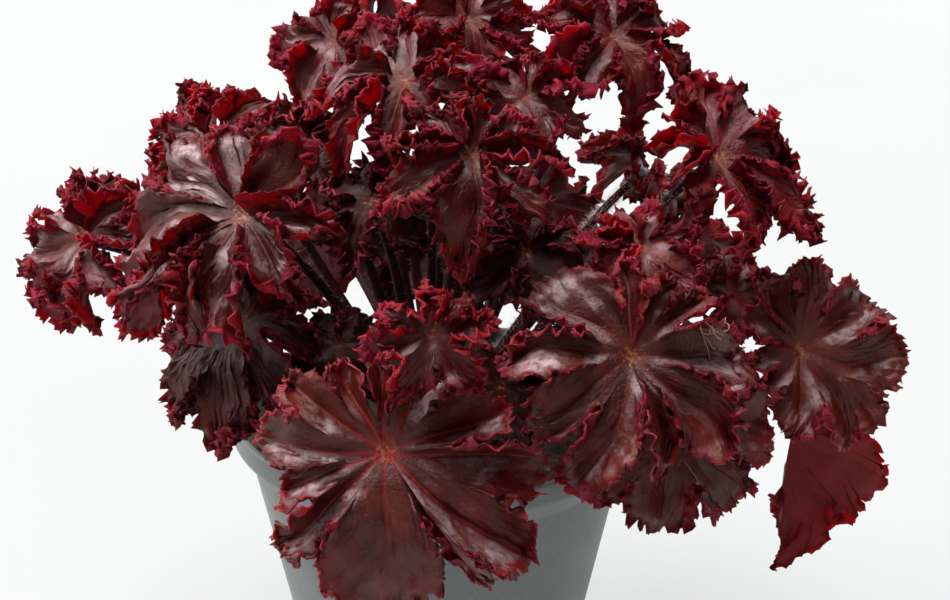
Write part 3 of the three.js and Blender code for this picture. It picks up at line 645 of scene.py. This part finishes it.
def hairs(rng, roots, outs, length, width):
    """Thin three-sided cones that stand on a surface."""
    n = len(roots)
    lean = unit(outs + rng.normal(0, 0.35, (n, 3)))
    long = length * rng.uniform(0.5, 1.25, n)[:, None]
    a = unit(np.cross(lean, rng.normal(0, 1, (n, 3))))
    b = np.cross(lean, a)
    bend = rng.normal(0, 0.25, (n, 3)) * long
    wide = width * 0.5
    foot = [roots + wide * (a * cos(t) + b * sin(t)) - lean * 0.05 for t in (0, 2.094, 4.189)]
    tip = roots + lean * long + bend
    vertices = np.stack([*foot, tip], 1).reshape(-1, 3)
    k = np.arange(n)[:, None] * 4
    return vertices, np.concatenate([k + [0, 1, 3], k + [1, 2, 3], k + [2, 0, 3]])


def stalk_hairs(rng, surface, outs, count):
    """Hairs that stand all over a stalk, each between two of its rings."""
    up = rng.uniform(0.04, 0.985, count)
    around = rng.uniform(0, 2 * pi, count)
    ring = np.clip((up * (STALK_RINGS - 1)).astype(int), 0, STALK_RINGS - 2)
    column = (around / (2 * pi) * STALK_SIDES).astype(int) % STALK_SIDES
    picked = ring * STALK_SIDES + column
    mix = rng.uniform(0, 1, count)[:, None]
    roots = surface[picked] * (1 - mix) + surface[picked + STALK_SIDES] * mix
    return hairs(rng, roots, outs[picked], *STALK_HAIR)


def add_dry_fibres(parts, rng, surface, normals, hub):
    """Dry pale fibres that lie in loops on the right half of a leaf, each with both ends on the blade."""
    right, up = surface[:, 0] - hub[0], (surface - hub) @ UP_IN_PHOTO
    here = np.flatnonzero((right > 18) & (right < 27) & (up > -2) & (up < 11))
    for _ in range(FIBRES):
        a, b = rng.choice(here, 2)
        lift_a, lift_b = [rng.uniform(1.5, 5) * normals[k] + rng.normal(0, 1.2, 3) for k in (a, b)]
        controls = surface[a], surface[a] + lift_a, surface[b] + lift_b, surface[b]
        line = bezier(controls, np.linspace(0, 1, FIBRE_POINTS))
        vertices, faces, _ = tube(line, np.linspace(0.16, 0.08, FIBRE_POINTS), 12)
        parts.add(vertices, faces, DRY)


def both_faces(leaf, top, normals, faces, border, values):
    """The blade as a closed shell with ribs below: its vertices, its triangles and their materials."""
    radius = values["reach"] * leaf.size
    rib = 0.75 * np.exp(-((values["off_vein"] / 0.75) ** 2)) * np.maximum(0, 1 - values["reach"]) ** 0.8
    rib *= smoothstep(values["edge"], 0.2, 3)
    depth = 0.34 + (BLADE.hub - 0.8) * np.exp(-((radius / 3.2) ** 2)) + rib
    straight = np.exp(-((radius / 5) ** 2))[:, None]
    under = top - unit(normals * (1 - straight) + straight * [0, 0, 1]) * depth[:, None]
    n, after = len(top), np.roll(border, -1)
    kinds = np.repeat([UPPER, LOWER, UPPER], [len(faces), len(faces), 2 * len(border)])
    shell = [faces, faces[:, ::-1] + n, *quads(border, after, border + n, after + n)]
    return np.concatenate([top, under]), np.concatenate(shell), kinds


def make_leaf(leaf, foot, materials, most_teeth, hair_count, fringe_count):
    """One leaf as one mesh: the blade, its stalk and the hairs on both."""
    axes = leaf_axes(leaf)
    place, hub = np.stack(axes), leaf.hub
    top, faces, border, values, outward = fine_blade(leaf, most_teeth)
    normals = vertex_normals(top, faces)
    shell, shell_faces, kinds = both_faces(leaf, top, normals, faces, border, values)
    parts = Parts()
    parts.add(shell @ place + hub, shell_faces, kinds)

    t = np.linspace(0, 1, STALK_RINGS)
    radii = STALK.base + (STALK.tip - STALK.base) * t
    radii = radii * (1 + 0.35 * np.exp(-t / 0.03) + 0.12 * np.exp(-(1 - t) / 0.03))
    stalk, stalk_faces, stalk_outs = tube(bezier(stalk_curve(leaf, foot, axes), t), radii, STALK_SIDES, 0.05)
    parts.add(stalk, stalk_faces, ON_STALK)

    rng = np.random.default_rng(leaf.seed)
    parts.add(*stalk_hairs(rng, stalk, stalk_outs, hair_count), PALE_HAIR)
    if leaf.name == "front_right":
        add_dry_fibres(parts, rng, parts.vertices[0][: len(top)], normals @ place, hub)
    fringed = rng.choice(border[len(border) // 30 : -len(border) // 30], fringe_count)
    roots = (top[fringed] - 0.3 * outward[fringed]) @ place + hub
    parts.add(*hairs(rng, roots, outward[fringed] @ place, *FRINGE_HAIR), PINK_HAIR)

    off_blade = parts.count - len(shell)
    values = {k: np.concatenate([v, v, np.full(off_blade, OFF_BLADE.get(k, 0.0))]) for k, v in values.items()}
    values["stalk"] = np.zeros(parts.count)
    values["stalk"][len(shell) : len(shell) + len(stalk)] = np.repeat(t, STALK_SIDES)
    vertices, faces, kinds = map(np.concatenate, (parts.vertices, parts.faces, parts.kinds))
    obj = new_mesh("ruffled_" + leaf.name, vertices, faces, materials, kinds, values)
    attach(obj, "root")
    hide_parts("leaf_" + leaf.name)


# ---- materials
# colours are linear red, green and blue, in thousandths
GLOW = (900, 12, 12)
VEIN_GLOW = (300, 10, 10)
OUTER_RED = (105, 9, 6.5)
# silver of the leaves: partly their own silver, partly a painted sheen on faces turned up and back
SILVER_AND_SHEEN = (400, 280, 295)
# a painted pink highlight on the lifted parts of the very edge
PINK_EDGE_HIGHLIGHT = (400, 50, 75)
HUB_FLECKS = (320, 130, 35)
# the way to the bright sky behind, which the painted sheen of the silver faces
SKY_BEHIND = (-0.3, 0.3, 0.9)
# dark and light tone, rim and veins of an underside, in plain leaves and in young ones
PURPLE = (45, 2, 6), (100, 4, 13), (140, 2.5, 9), (160, 30, 30)
YOUNG_PURPLE = (50, 2, 6), (110, 4, 13), (150, 2.5, 10), (180, 30, 30)

# The upper face and the underside of each kind of leaf: the material's name, dark and light tone, rim, veins,
# share of light let through, roughness, how far the rim spreads, share of silver with its painted sheen, and
# for some the shine and the red of the outer half.
LEAF_FACES = {
    "leaf": (
        ("leaf_upper", (32, 3.5, 1.6), (88, 10.5, 4.5), (145, 2.5, 15), (120, 8, 8), 0.2, 0.33, -0.12, 0.9),
        ("leaf_under", *PURPLE, 0.2, 0.5, 0.1, 0.0),
    ),
    "young": (
        ("young_upper", (45, 3.5, 2.5), (110, 10, 6), (165, 3, 20),
         (110, 7, 8), 0.24, 0.34, -0.05, 0.6, 0.36, (120, 6, 13)),
        ("young_under", *YOUNG_PURPLE, 0.24, 0.5, 0.1, 0.0),
    ),
    "front": (
        ("front_upper", (34, 3.8, 1.8), (90, 12.5, 5.5), (165, 3, 16), (300, 9, 18), 0.2, 0.31, -0.1, 0.95),
        ("front_lower", *PURPLE, 0.2, 0.5, 0.1, 0.0),
    ),
    "crimson": (
        ("crimson_upper", (50, 2.5, 3.5), (140, 5, 9), (150, 2.5, 14),
         (100, 3, 6), 0.25, 0.36, -0.05, 0.25, 0.3, (130, 3.5, 9)),
        ("crimson_under", *YOUNG_PURPLE, 0.25, 0.5, 0.1, 0.0),
    ),
    "shaded": (
        ("shaded_upper", (22, 2, 1.5), (55, 5.5, 3.5), (100, 2.5, 9),
         (80, 6, 6), 0.14, 0.36, -0.12, 0.25, 0.25),
        ("shaded_under", (30, 3, 8), (60, 7, 18), (90, 4, 12), (100, 30, 40), 0.14, 0.5, 0.0, 0.0, 0.25),
    ),
    # painted backlight: brighter red tones for a leaf with light behind it, beside the red that its
    # translucent shader lets through
    "lit_through": (
        ("red_upper", (90, 3.5, 5), (190, 6, 10), (200, 4, 12), (100, 2, 5), 0.4, 0.42, -0.1, 0.0, 0.2),
        ("red_lower", (130, 3.5, 6), (200, 6, 10), (200, 4, 12), (100, 2, 5), 0.4, 0.5, 0.0, 0.0, 0.2),
    ),
    # darker tones for the leaves deep in the plant: painted shade
    "old": (
        ("old_upper", (9, 1, 0.6), (22, 2.2, 1.3), (55, 1.5, 5), (70, 9, 9), 0.08, 0.38, -0.2, 0.15, 0.16),
        ("old_under", (22, 4, 9), (45, 9, 20), (70, 5, 12), (100, 30, 40), 0.08, 0.5, 0.0, 0.0, 0.2),
    ),
}


def scaled(colour, share):
    return tuple(share * c for c in colour)


class Nodes:
    """A short way to write the node tree of a material or a world."""

    def __init__(self, name, kind="materials"):
        self.owner = getattr(bpy.data, kind).new(name)
        self.owner.use_nodes = True
        self.tree = self.owner.node_tree

    def fill(self, node, inputs):
        """Give a node its inputs, each a number, a direction, a colour or a socket."""
        for key, value in inputs.items():
            socket = node.inputs[key]
            if isinstance(value, bpy.types.NodeSocket):
                self.tree.links.new(value, socket)
            else:
                is_colour = socket.type == "RGBA"
                socket.default_value = (*scaled(value, 0.001), 1) if is_colour else value

    def node(self, kind, inputs, output, **settings):
        made = self.tree.nodes.new("ShaderNode" + kind)
        for key, value in settings.items():
            setattr(made, key, value)
        self.fill(made, inputs)
        return made.outputs[output]

    def finish(self, **looks):
        """Give the shader its looks, and return the material."""
        looks = {key.replace("_", " "): value for key, value in looks.items()}
        self.fill(self.tree.nodes["Principled BSDF"], looks)
        return self.owner

    def attribute(self, name):
        return self.node("Attribute", {}, "Fac", attribute_name=name)

    def position(self):
        return self.node("TexCoord", {}, "Object")

    def maths(self, operation, a, b, clamp=False):
        return self.node("Math", {0: a, 1: b}, 0, operation=operation, use_clamp=clamp)

    def times(self, product, *others):
        for other in others:
            product = self.maths("MULTIPLY", product, other)
        return product

    def ramp(self, value, low, high, out_low=0.0, out_high=1.0):
        ends = {"From Min": low, "From Max": high, "To Min": out_low, "To Max": out_high}
        return self.node("MapRange", {"Value": value, **ends}, 0, interpolation_type="SMOOTHSTEP")

    def mix(self, share, a, b):
        return self.node("Mix", {"Factor": share, "A": a, "B": b}, "Result", data_type="RGBA")

    def noise(self, scale, detail=3.0, roughness=0.5, distortion=0.0):
        looks = {"Scale": scale, "Detail": detail, "Roughness": roughness, "Distortion": distortion}
        return self.node("TexNoise", {"Vector": self.position(), **looks}, "Fac")

    def cell_walls(self, scale):
        """How far a point is from the walls of a net of cells."""
        inputs = {"Vector": self.position(), "Scale": scale}
        return self.node("TexVoronoi", inputs, "Distance", feature="DISTANCE_TO_EDGE")

    def towards(self, direction, way):
        """How far a direction of the surface or the room is turned towards a way, -1 to 1."""
        return self.node("VectorMath", {0: direction, 1: way}, "Value", operation="DOT_PRODUCT")

    def bump(self, height, distance, strength, under=None):
        inputs = {"Strength": strength, "Distance": distance, "Height": height}
        return self.node("Bump", {**inputs, "Normal": under} if under else inputs, "Normal")


def silver_and_painted_sheen(n, reach):
    """Silver patches between a leaf's veins, shown only where it faces up and back to the sky: partly silver,
    partly painted sheen.
    """
    return n.times(
        n.ramp(n.attribute("off_vein"), 0.2, 1.4),
        n.ramp(n.attribute("edge"), 0.8, 3.5),
        n.ramp(reach, 0.04, 0.2, 0.25, 1.0),
        n.ramp(n.noise(52, 3, 0.5, 1.2), 0.38, 0.58),
        n.ramp(n.noise(420, 5, 0.7), 0.36, 0.58, 0.2),
        n.ramp(n.towards(n.node("NewGeometry", {}, "Normal"), SKY_BEHIND), 0.05, 0.7),
    )


def with_rim(n, colour, rim, rim_share):
    """A colour under the crimson of the rim, with painted shade in its hollows, painted light where it lifts,
    and a painted pink highlight along the lifted parts of the very edge.
    """
    # the rim's crimson is darker where the edge sinks, painted shade, and brighter where it lifts, painted
    # light
    painted_light_by_lift = n.maths("ADD", n.ramp(n.attribute("lift"), -0.6, 0.7, -0.22, 0.22), n.noise(380, 4, 0.7))
    crimson = n.mix(n.ramp(painted_light_by_lift, 0.36, 0.62), scaled(rim, 0.25), scaled(rim, 1.4))
    at_edge = n.times(n.ramp(n.attribute("edge"), 0.0, 0.45, 0.7, 0), n.ramp(painted_light_by_lift, 0.4, 0.8))
    return n.mix(at_edge, n.mix(rim_share, colour, crimson), PINK_EDGE_HIGHLIGHT)


def with_veins(n, colour, veins, reach, main, net):
    """A colour under the finest net of veins, the side veins, the main veins and the flecks at the hub."""
    colour = n.mix(n.times(net, 0.15), colour, veins)
    colour = n.mix(n.times(n.attribute("side_vein"), 0.25), colour, veins)
    colour = n.mix(n.times(main, n.ramp(reach, 0.05, 0.6, 0.75, 0.3)), colour, veins)
    colour = n.mix(n.ramp(reach, 0.02, 0.07, 0.5, 0), colour, veins)
    flecks = n.times(n.ramp(reach, 0.02, 0.1, 0.75, 0), n.ramp(n.noise(900, 3, 0.6), 0.5, 0.58))
    return n.mix(flecks, colour, HUB_FLECKS)


def let_light_through(n, share, patches, main):
    """Mix the red light that comes through a blade into its surface."""
    glowing = n.mix(n.ramp(patches, 0.3, 0.7), GLOW, scaled(GLOW, 0.75))
    back = n.node("BsdfTranslucent", {"Color": n.mix(n.times(main, 0.6), glowing, VEIN_GLOW)}, 0)
    surface = n.tree.nodes["Principled BSDF"].outputs[0]
    mixed = n.node("MixShader", {0: share, 1: surface, 2: back}, 0)
    n.fill(n.tree.nodes["Material Output"], {"Surface": mixed})


def leaf_material(
    name, dark, light, rim, veins, glow_share, roughness, rim_shift, bloom_and_sheen, shine=0.4, outer_red=None
):
    n = Nodes(name)
    reach, main = n.attribute("reach"), n.attribute("main_vein")
    patches = n.noise(38, 4, 0.55, 0.6)
    colour = n.mix(n.ramp(patches, 0.35, 0.68), dark, light)
    outer = n.times(n.ramp(reach, 0.35, 0.75), n.ramp(n.noise(90, 3, 0.5, 0.5), 0.35, 0.6))
    if outer_red:
        colour = n.mix(outer, colour, outer_red)
    else:
        colour = n.mix(n.times(outer, bloom_and_sheen), colour, OUTER_RED)
    # silver patches with a painted sheen, on what faces the sky behind
    colour = n.mix(n.times(silver_and_painted_sheen(n, reach), bloom_and_sheen), colour, SILVER_AND_SHEEN)
    blotch = n.ramp(n.noise(330, 3), 0.35, 0.65, -0.45 + rim_shift, 0.25 + rim_shift)
    rim_share = n.maths("ADD", n.attribute("crimson"), blotch, clamp=True)
    net = n.ramp(n.cell_walls(560), 0.0, 0.09, 1, 0)
    colour = with_veins(n, with_rim(n, colour, rim, rim_share), veins, reach, main, net)
    grained = n.bump(n.noise(1000, 4, 0.65), 0.0005, 0.8, n.bump(net, 0.00012, 0.5))
    crinkle = n.times(n.noise(800, 3, 0.6, 0.5), n.ramp(n.attribute("crimson"), 0.1, 0.7))
    let_light_through(n, n.ramp(rim_share, 0.0, 1.0, 0.6 * glow_share, 1.7 * glow_share), patches, main)
    return n.finish(
        Base_Color=colour,
        Roughness=n.ramp(n.noise(160, 3), 0.3, 0.7, roughness - 0.06, roughness + 0.08),
        Specular_IOR_Level=n.ramp(rim_share, 0.2, 1.0, shine, 0.45 * shine),
        Specular_Tint=(1000, 900, 820),
        Normal=n.bump(crinkle, 0.0012, 0.7, grained),
    )


def stalk_material():
    n = Nodes("stalk_dark_red")
    colour = n.mix(n.ramp(n.noise(500, 4, 0.6), 0.3, 0.7), (8, 1, 1.2), (40, 3.5, 5))
    colour = n.mix(n.ramp(n.attribute("stalk"), 0.0, 0.25, 0.6, 0), colour, (100, 45, 20))
    grain = n.bump(n.noise(1500, 2), 0.0002, 0.5)
    return n.finish(Base_Color=colour, Roughness=0.55, Specular_IOR_Level=0.08, Normal=grain)


def hair_material(name, colour_a, colour_b):
    """The look of hairs and dry fibres."""
    n = Nodes(name)
    colour = n.mix(n.ramp(n.noise(300, 2), 0.4, 0.6), colour_a, colour_b)
    return n.finish(Base_Color=colour, Roughness=0.6)


def pot_material():
    n = Nodes("pot_grey_plastic")
    colour = n.mix(n.ramp(n.noise(14, 3, 0.5), 0.3, 0.7), (125, 135, 133), (150, 160, 158))
    colour = n.mix(n.ramp(n.noise(900, 2), 0.55, 0.75, 0, 0.35), colour, (240, 250, 250))
    rough = n.ramp(n.noise(60, 3), 0.3, 0.7, 0.42, 0.52)
    return n.finish(Base_Color=colour, Roughness=rough, Normal=n.bump(n.noise(1800, 2), 0.0001, 0.35))


def soil_material():
    n = Nodes("soil_compost")
    crumbs, fibres = n.noise(260, 6, 0.65), n.noise(90, 5, 0.7, 2.5)
    colour = n.mix(n.ramp(crumbs, 0.3, 0.7), (12, 8, 6), (70, 42, 26))
    colour = n.mix(n.ramp(fibres, 0.6, 0.68, 0, 0.6), colour, (140, 85, 45))
    return n.finish(Base_Color=colour, Roughness=0.95, Normal=n.bump(crumbs, 0.0016, 0.8))


def crown_material():
    n = Nodes("crown_bark")
    colour = n.mix(n.ramp(n.noise(180, 5, 0.6), 0.3, 0.7), (30, 16, 12), (120, 60, 35))
    colour = n.mix(n.ramp(n.noise(60, 4, 0.6), 0.55, 0.65, 0, 0.7), colour, (160, 30, 35))
    return n.finish(Base_Color=colour, Roughness=0.85, Normal=n.bump(n.noise(400, 5, 0.6), 0.001, 0.8))


# ---- pot, soil and crown
POT_SIDES, POT_ROUNDING = 144, 1.1
SOIL_SIDES, SOIL_ROWS, SOIL_EDGE = 200, 46, 59.4
CROWN_SIDES, CROWN_ROWS = 96, 40
DRILL_DEPTH = 12


def lathe(profile, sides):
    """A closed body turned about +Z from pairs of radius and height, with a flat end below and above."""
    profile = np.array(profile, float)
    angles = np.linspace(0, 2 * pi, sides, endpoint=False)
    rings = [np.stack([r * np.cos(angles), r * np.sin(angles), np.full(sides, z)], 1) for r, z in profile]
    ends = [[0, 0, profile[0][1]], [0, 0, profile[-1][1]]]
    k = np.arange(sides)
    k1 = (k + 1) % sides
    low = len(profile) * sides
    last = low - sides
    below = np.stack([low + 0 * k, k1, k], 1)
    above = np.stack([low + 1 + 0 * k, last + k, last + k1], 1)
    return np.concatenate([*rings, ends]), np.concatenate([ring_walls(len(profile), sides), below, above])


def rounded(points, radius, steps=4):
    """The corners of a profile, rounded, without its two ends."""
    result = []
    for before, corner, after in zip(points, points[1:], points[2:]):
        before, corner, after = (np.array(point, float) for point in (before, corner, after))
        start, end = before - corner, after - corner
        cut = min(radius, 0.45 * norm(start), 0.45 * norm(end))
        start, end = corner + unit(start) * cut, corner + unit(end) * cut
        for t in np.linspace(0, 1, steps):
            result.append(tuple(start * (1 - t) ** 2 + 2 * corner * t * (1 - t) + end * t * t))
    return result


def inner_radius(height):
    slope = (POT.neck_radius - POT.base_radius) / POT.neck_height
    return POT.base_radius + slope * height - POT.wall


def make_pot(material):
    inside = POT.collar_radius - POT.wall
    outline = [
        (0, 0),
        (POT.base_radius, 0),
        (POT.neck_radius, POT.neck_height),
        (POT.collar_radius, POT.collar_height),
        (POT.collar_radius, POT.height),
        (inside, POT.height),
        (inside, POT.collar_height + 0.5),
        (inner_radius(POT.neck_height) + 0.4, POT.neck_height),
        (inner_radius(POT.floor), POT.floor),
        (0, POT.floor),
    ]
    pot = new_mesh("pot_body", *lathe(rounded(outline, POT_ROUNDING), POT_SIDES), [material])
    for i in range(DRAINS.count):
        angle = (i + 0.5) / DRAINS.count * 2 * pi
        x, y = DRAINS.circle * cos(angle), DRAINS.circle * sin(angle)
        bpy.ops.mesh.primitive_cylinder_add(
            vertices=24, radius=DRAINS.radius * MM, depth=DRILL_DEPTH * MM, location=(x * MM, y * MM, 0)
        )
        cutter = bpy.context.object
        cut = pot.modifiers.new("drain", "BOOLEAN")
        cut.object, cut.operation, cut.solver = cutter, "DIFFERENCE", "EXACT"
        bpy.context.view_layer.objects.active = pot
        bpy.ops.object.modifier_apply(modifier=cut.name)
        bpy.data.objects.remove(cutter)
    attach(pot, "root")
    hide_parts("pot")


def bumps(x, y, z, seed, size):
    """A smooth uneven field built from a few crossed waves, about -1 to 1."""
    total = np.zeros_like(x)
    for i in range(9):
        way = unit(np.array([chance(seed, 3 * i + k) - 0.5 for k in range(3)]))
        rate = 2 * pi / size * (0.7 + 0.25 * i)
        phase = FULL_TURN * chance(seed, 40 + i)
        total += np.sin((x * way[0] + y * way[1] + z * way[2]) * rate + phase) / (1 + 0.35 * i)
    return total / 3.2


def make_soil(material):
    hole = CROWN.radius + GAP
    rings = [(inner_radius(POT.floor + GAP) - GAP, POT.floor + GAP)]
    rings += [(inner_radius(height) - GAP, height) for height in (70, 101)]
    rings += [(r, SOIL_TOP) for r in np.linspace(SOIL_EDGE, hole, SOIL_ROWS)]
    rings += [(hole, SOIL_TOP - 16)]
    vertices, faces = lathe(rings, SOIL_SIDES)
    x, y, z = vertices.T
    radius = np.hypot(x, y)
    on_top = (z > SOIL_TOP - 0.1) & (radius < SOIL_EDGE + 0.1)
    ripple = SOIL_RIPPLE * np.sin(x * 0.31 + 1) * np.cos(y * 0.27) - 0.05 * (radius - hole)
    crumb = 0.9 * bumps(x, y, z, 5, 9) + 0.6 * bumps(x, y, z, 6, 3.6)
    ease = smoothstep(radius, hole - 0.5, hole + 3)
    vertices[:, 2] = np.where(on_top, z + (ripple + crumb) * ease, z)
    soil = new_mesh("soil_surface", vertices, faces, [material])
    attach(soil, "root")
    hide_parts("soil")


def make_crown(material, feet):
    """The rootstock: a dome with a knob under each stalk, on a plug that stands in the soil."""
    radius, height, foot = CROWN.radius, CROWN.height, CROWN.foot
    profile = [(radius * 0.9, SOIL_TOP - 15.7), (radius * 0.98, SOIL_TOP - 9), (radius * 0.99, SOIL_TOP)]
    for i in range(CROWN_ROWS):
        angle = i / CROWN_ROWS * pi / 2
        profile.append((radius * cos(angle), foot + height * sin(angle)))
    vertices, faces = lathe(profile, CROWN_SIDES)
    way = unit((vertices - [0, 0, foot]) / [radius, radius, height])
    dome = vertices[:, 2] > foot - 0.1
    knob = np.zeros(len(vertices))
    for f in feet:
        knob = np.maximum(knob, np.exp(-((norm(way - f, axis=1) / 0.13) ** 2)))
    lump = -1.5 * (1 - knob) + 0.5 * bumps(*vertices.T, 9, 7)
    vertices = vertices + np.where(dome, lump, 0)[:, None] * way
    crown = new_mesh("crown_rootstock", vertices, faces, [material])
    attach(crown, "root")
    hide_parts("crown")


# ---- floor, light and camera
FLOOR_SPAN = 30000
COOL_WHITE = (985, 1000, 995)
# the bright side of the room, seen from the plant
BRIGHT_SIDE = (-0.62, 0.76, 0.19)
# azimuth (0 is behind the object, 90 to its right), elevation, width in degrees and strength
SUNS = {
    "window_above": (-95, 76, 50, 6.1),
    "window_left": (-80, 28, 36, 2.0),
    "room_in_front": (165, 50, 40, 0.4),
}
# the camera's focal length in pixels of the photo's width, fitted to the pot and the leaves, and its place
FOCAL_PIXELS, PHOTO_WIDTH = 1885, 950
CAMERA = SimpleNamespace(pitch=22, distance=0.62, right=0.0125, aim_height=0.155)


def make_floor():
    """The plain floor, which shines a little itself, so that the plant's shadow stays soft."""
    n = Nodes("backdrop_white")
    colour = n.mix(n.ramp(n.noise(3, 2), 0.3, 0.7), (100, 102, 102), (107, 109, 109))
    material = n.finish(Base_Color=colour, Roughness=0.9, Emission_Color=COOL_WHITE, Emission_Strength=0.6)
    corners = FLOOR_SPAN * np.array([(-1, -1, 0), (1, -1, 0), (1, 1, 0), (-1, 1, 0)])
    floor = new_mesh("floor", corners, [(0, 1, 2), (0, 2, 3)], [material])


def make_room():
    """Light from all round, brightest from the left behind, which the camera sees as plain white."""
    n = Nodes("studio", "worlds")
    towards = n.towards(n.node("TexCoord", {}, "Generated"), BRIGHT_SIDE)
    strength = n.ramp(towards, 0.1, 0.95, 0.02, 1.9)
    seen = n.node("LightPath", {}, "Is Camera Ray")
    shown = n.node("MapRange", {"Value": seen, "To Min": strength, "To Max": 0.93}, 0)
    n.fill(n.tree.nodes["Background"], {"Color": COOL_WHITE, "Strength": shown})
    bpy.context.scene.world = n.owner


def make_sun(name, azimuth, elevation, width, strength):
    """A wide, even light from a direction."""
    light = bpy.data.lights.new(name, "SUN")
    light.angle, light.energy = radians(width), strength
    obj = bpy.data.objects.new(name, light)
    bpy.context.scene.collection.objects.link(obj)
    azimuth, elevation = radians(azimuth), radians(elevation)
    level = cos(elevation)
    place = Vector((level * sin(azimuth), level * cos(azimuth), sin(elevation)))
    obj.rotation_euler = place.to_track_quat("Z", "Y").to_euler()


def make_camera():
    camera = bpy.data.cameras.new("camera")
    camera.sensor_width = 36
    camera.lens = camera.sensor_width * FOCAL_PIXELS / PHOTO_WIDTH
    camera.clip_start = 0.01
    obj = bpy.data.objects.new("camera", camera)
    bpy.context.scene.collection.objects.link(obj)
    pitch, distance = radians(CAMERA.pitch), CAMERA.distance
    height = CAMERA.aim_height + distance * sin(pitch)
    obj.location = (CAMERA.right, -distance * cos(pitch), height)
    obj.rotation_euler = (pi / 2 - pitch, 0, 0)
    bpy.context.scene.camera = obj


# ---- build
# how the names start of leaves with each kind of surface, where they aren't plain or young by their size
KINDS = {
    "front": ["front_low"],
    "lit_through": ["right_hang"],
    "crimson": ["right_high"],
    "shaded": ["left_low"],
    # leaves deep in the plant, which take the darker tones of painted shade
    "old": ["front_under", "deep", "mid_"],
    "young": ["top", "left_far", "left_back"],
}
HIDDEN = ("back", "deep", "mid_")
HALF_HIDDEN = "back_right_high"
HAIRS_ON_STALK = {"back_right_high": 2400, "right_high": 700}


def kind_of(leaf):
    for kind, starts in KINDS.items():
        if leaf.name.startswith(tuple(starts)):
            return kind
    return "young" if leaf.lobes == 7 else "leaf"


def make_leaves(feet):
    """All the leaves. Those that the photo hides have fewer teeth and hairs."""
    shared = [
        stalk_material(),
        hair_material("hair_pale", (750, 620, 600), (620, 420, 420)),
        hair_material("hair_pink", (450, 100, 120), (300, 40, 60)),
        hair_material("fibre_dry", (500, 300, 180), (340, 170, 100)),
    ]
    materials = {k: [leaf_material(*face) for face in faces] + shared for k, faces in LEAF_FACES.items()}
    for leaf, foot in zip(LEAVES, feet):
        name = leaf.name
        hidden = name.startswith(HIDDEN) and name != HALF_HIDDEN
        most_teeth = 120 if hidden else 300 if name == HALF_HIDDEN else 500
        hair_count = HAIRS_ON_STALK.get(name, 40 if hidden else 120)
        make_leaf(leaf, foot, materials[kind_of(leaf)], most_teeth, hair_count, 300 if hidden else 1000)


for leaf in LEAVES:
    prepare(leaf)
feet = stalk_feet()
make_leaves(feet)
make_pot(pot_material())
make_soil(soil_material())
make_crown(crown_material(), feet)
make_floor()
make_room()
for name, settings in SUNS.items():
    make_sun(name, *settings)
make_camera()
bpy.context.scene.view_settings.view_transform = "Standard"
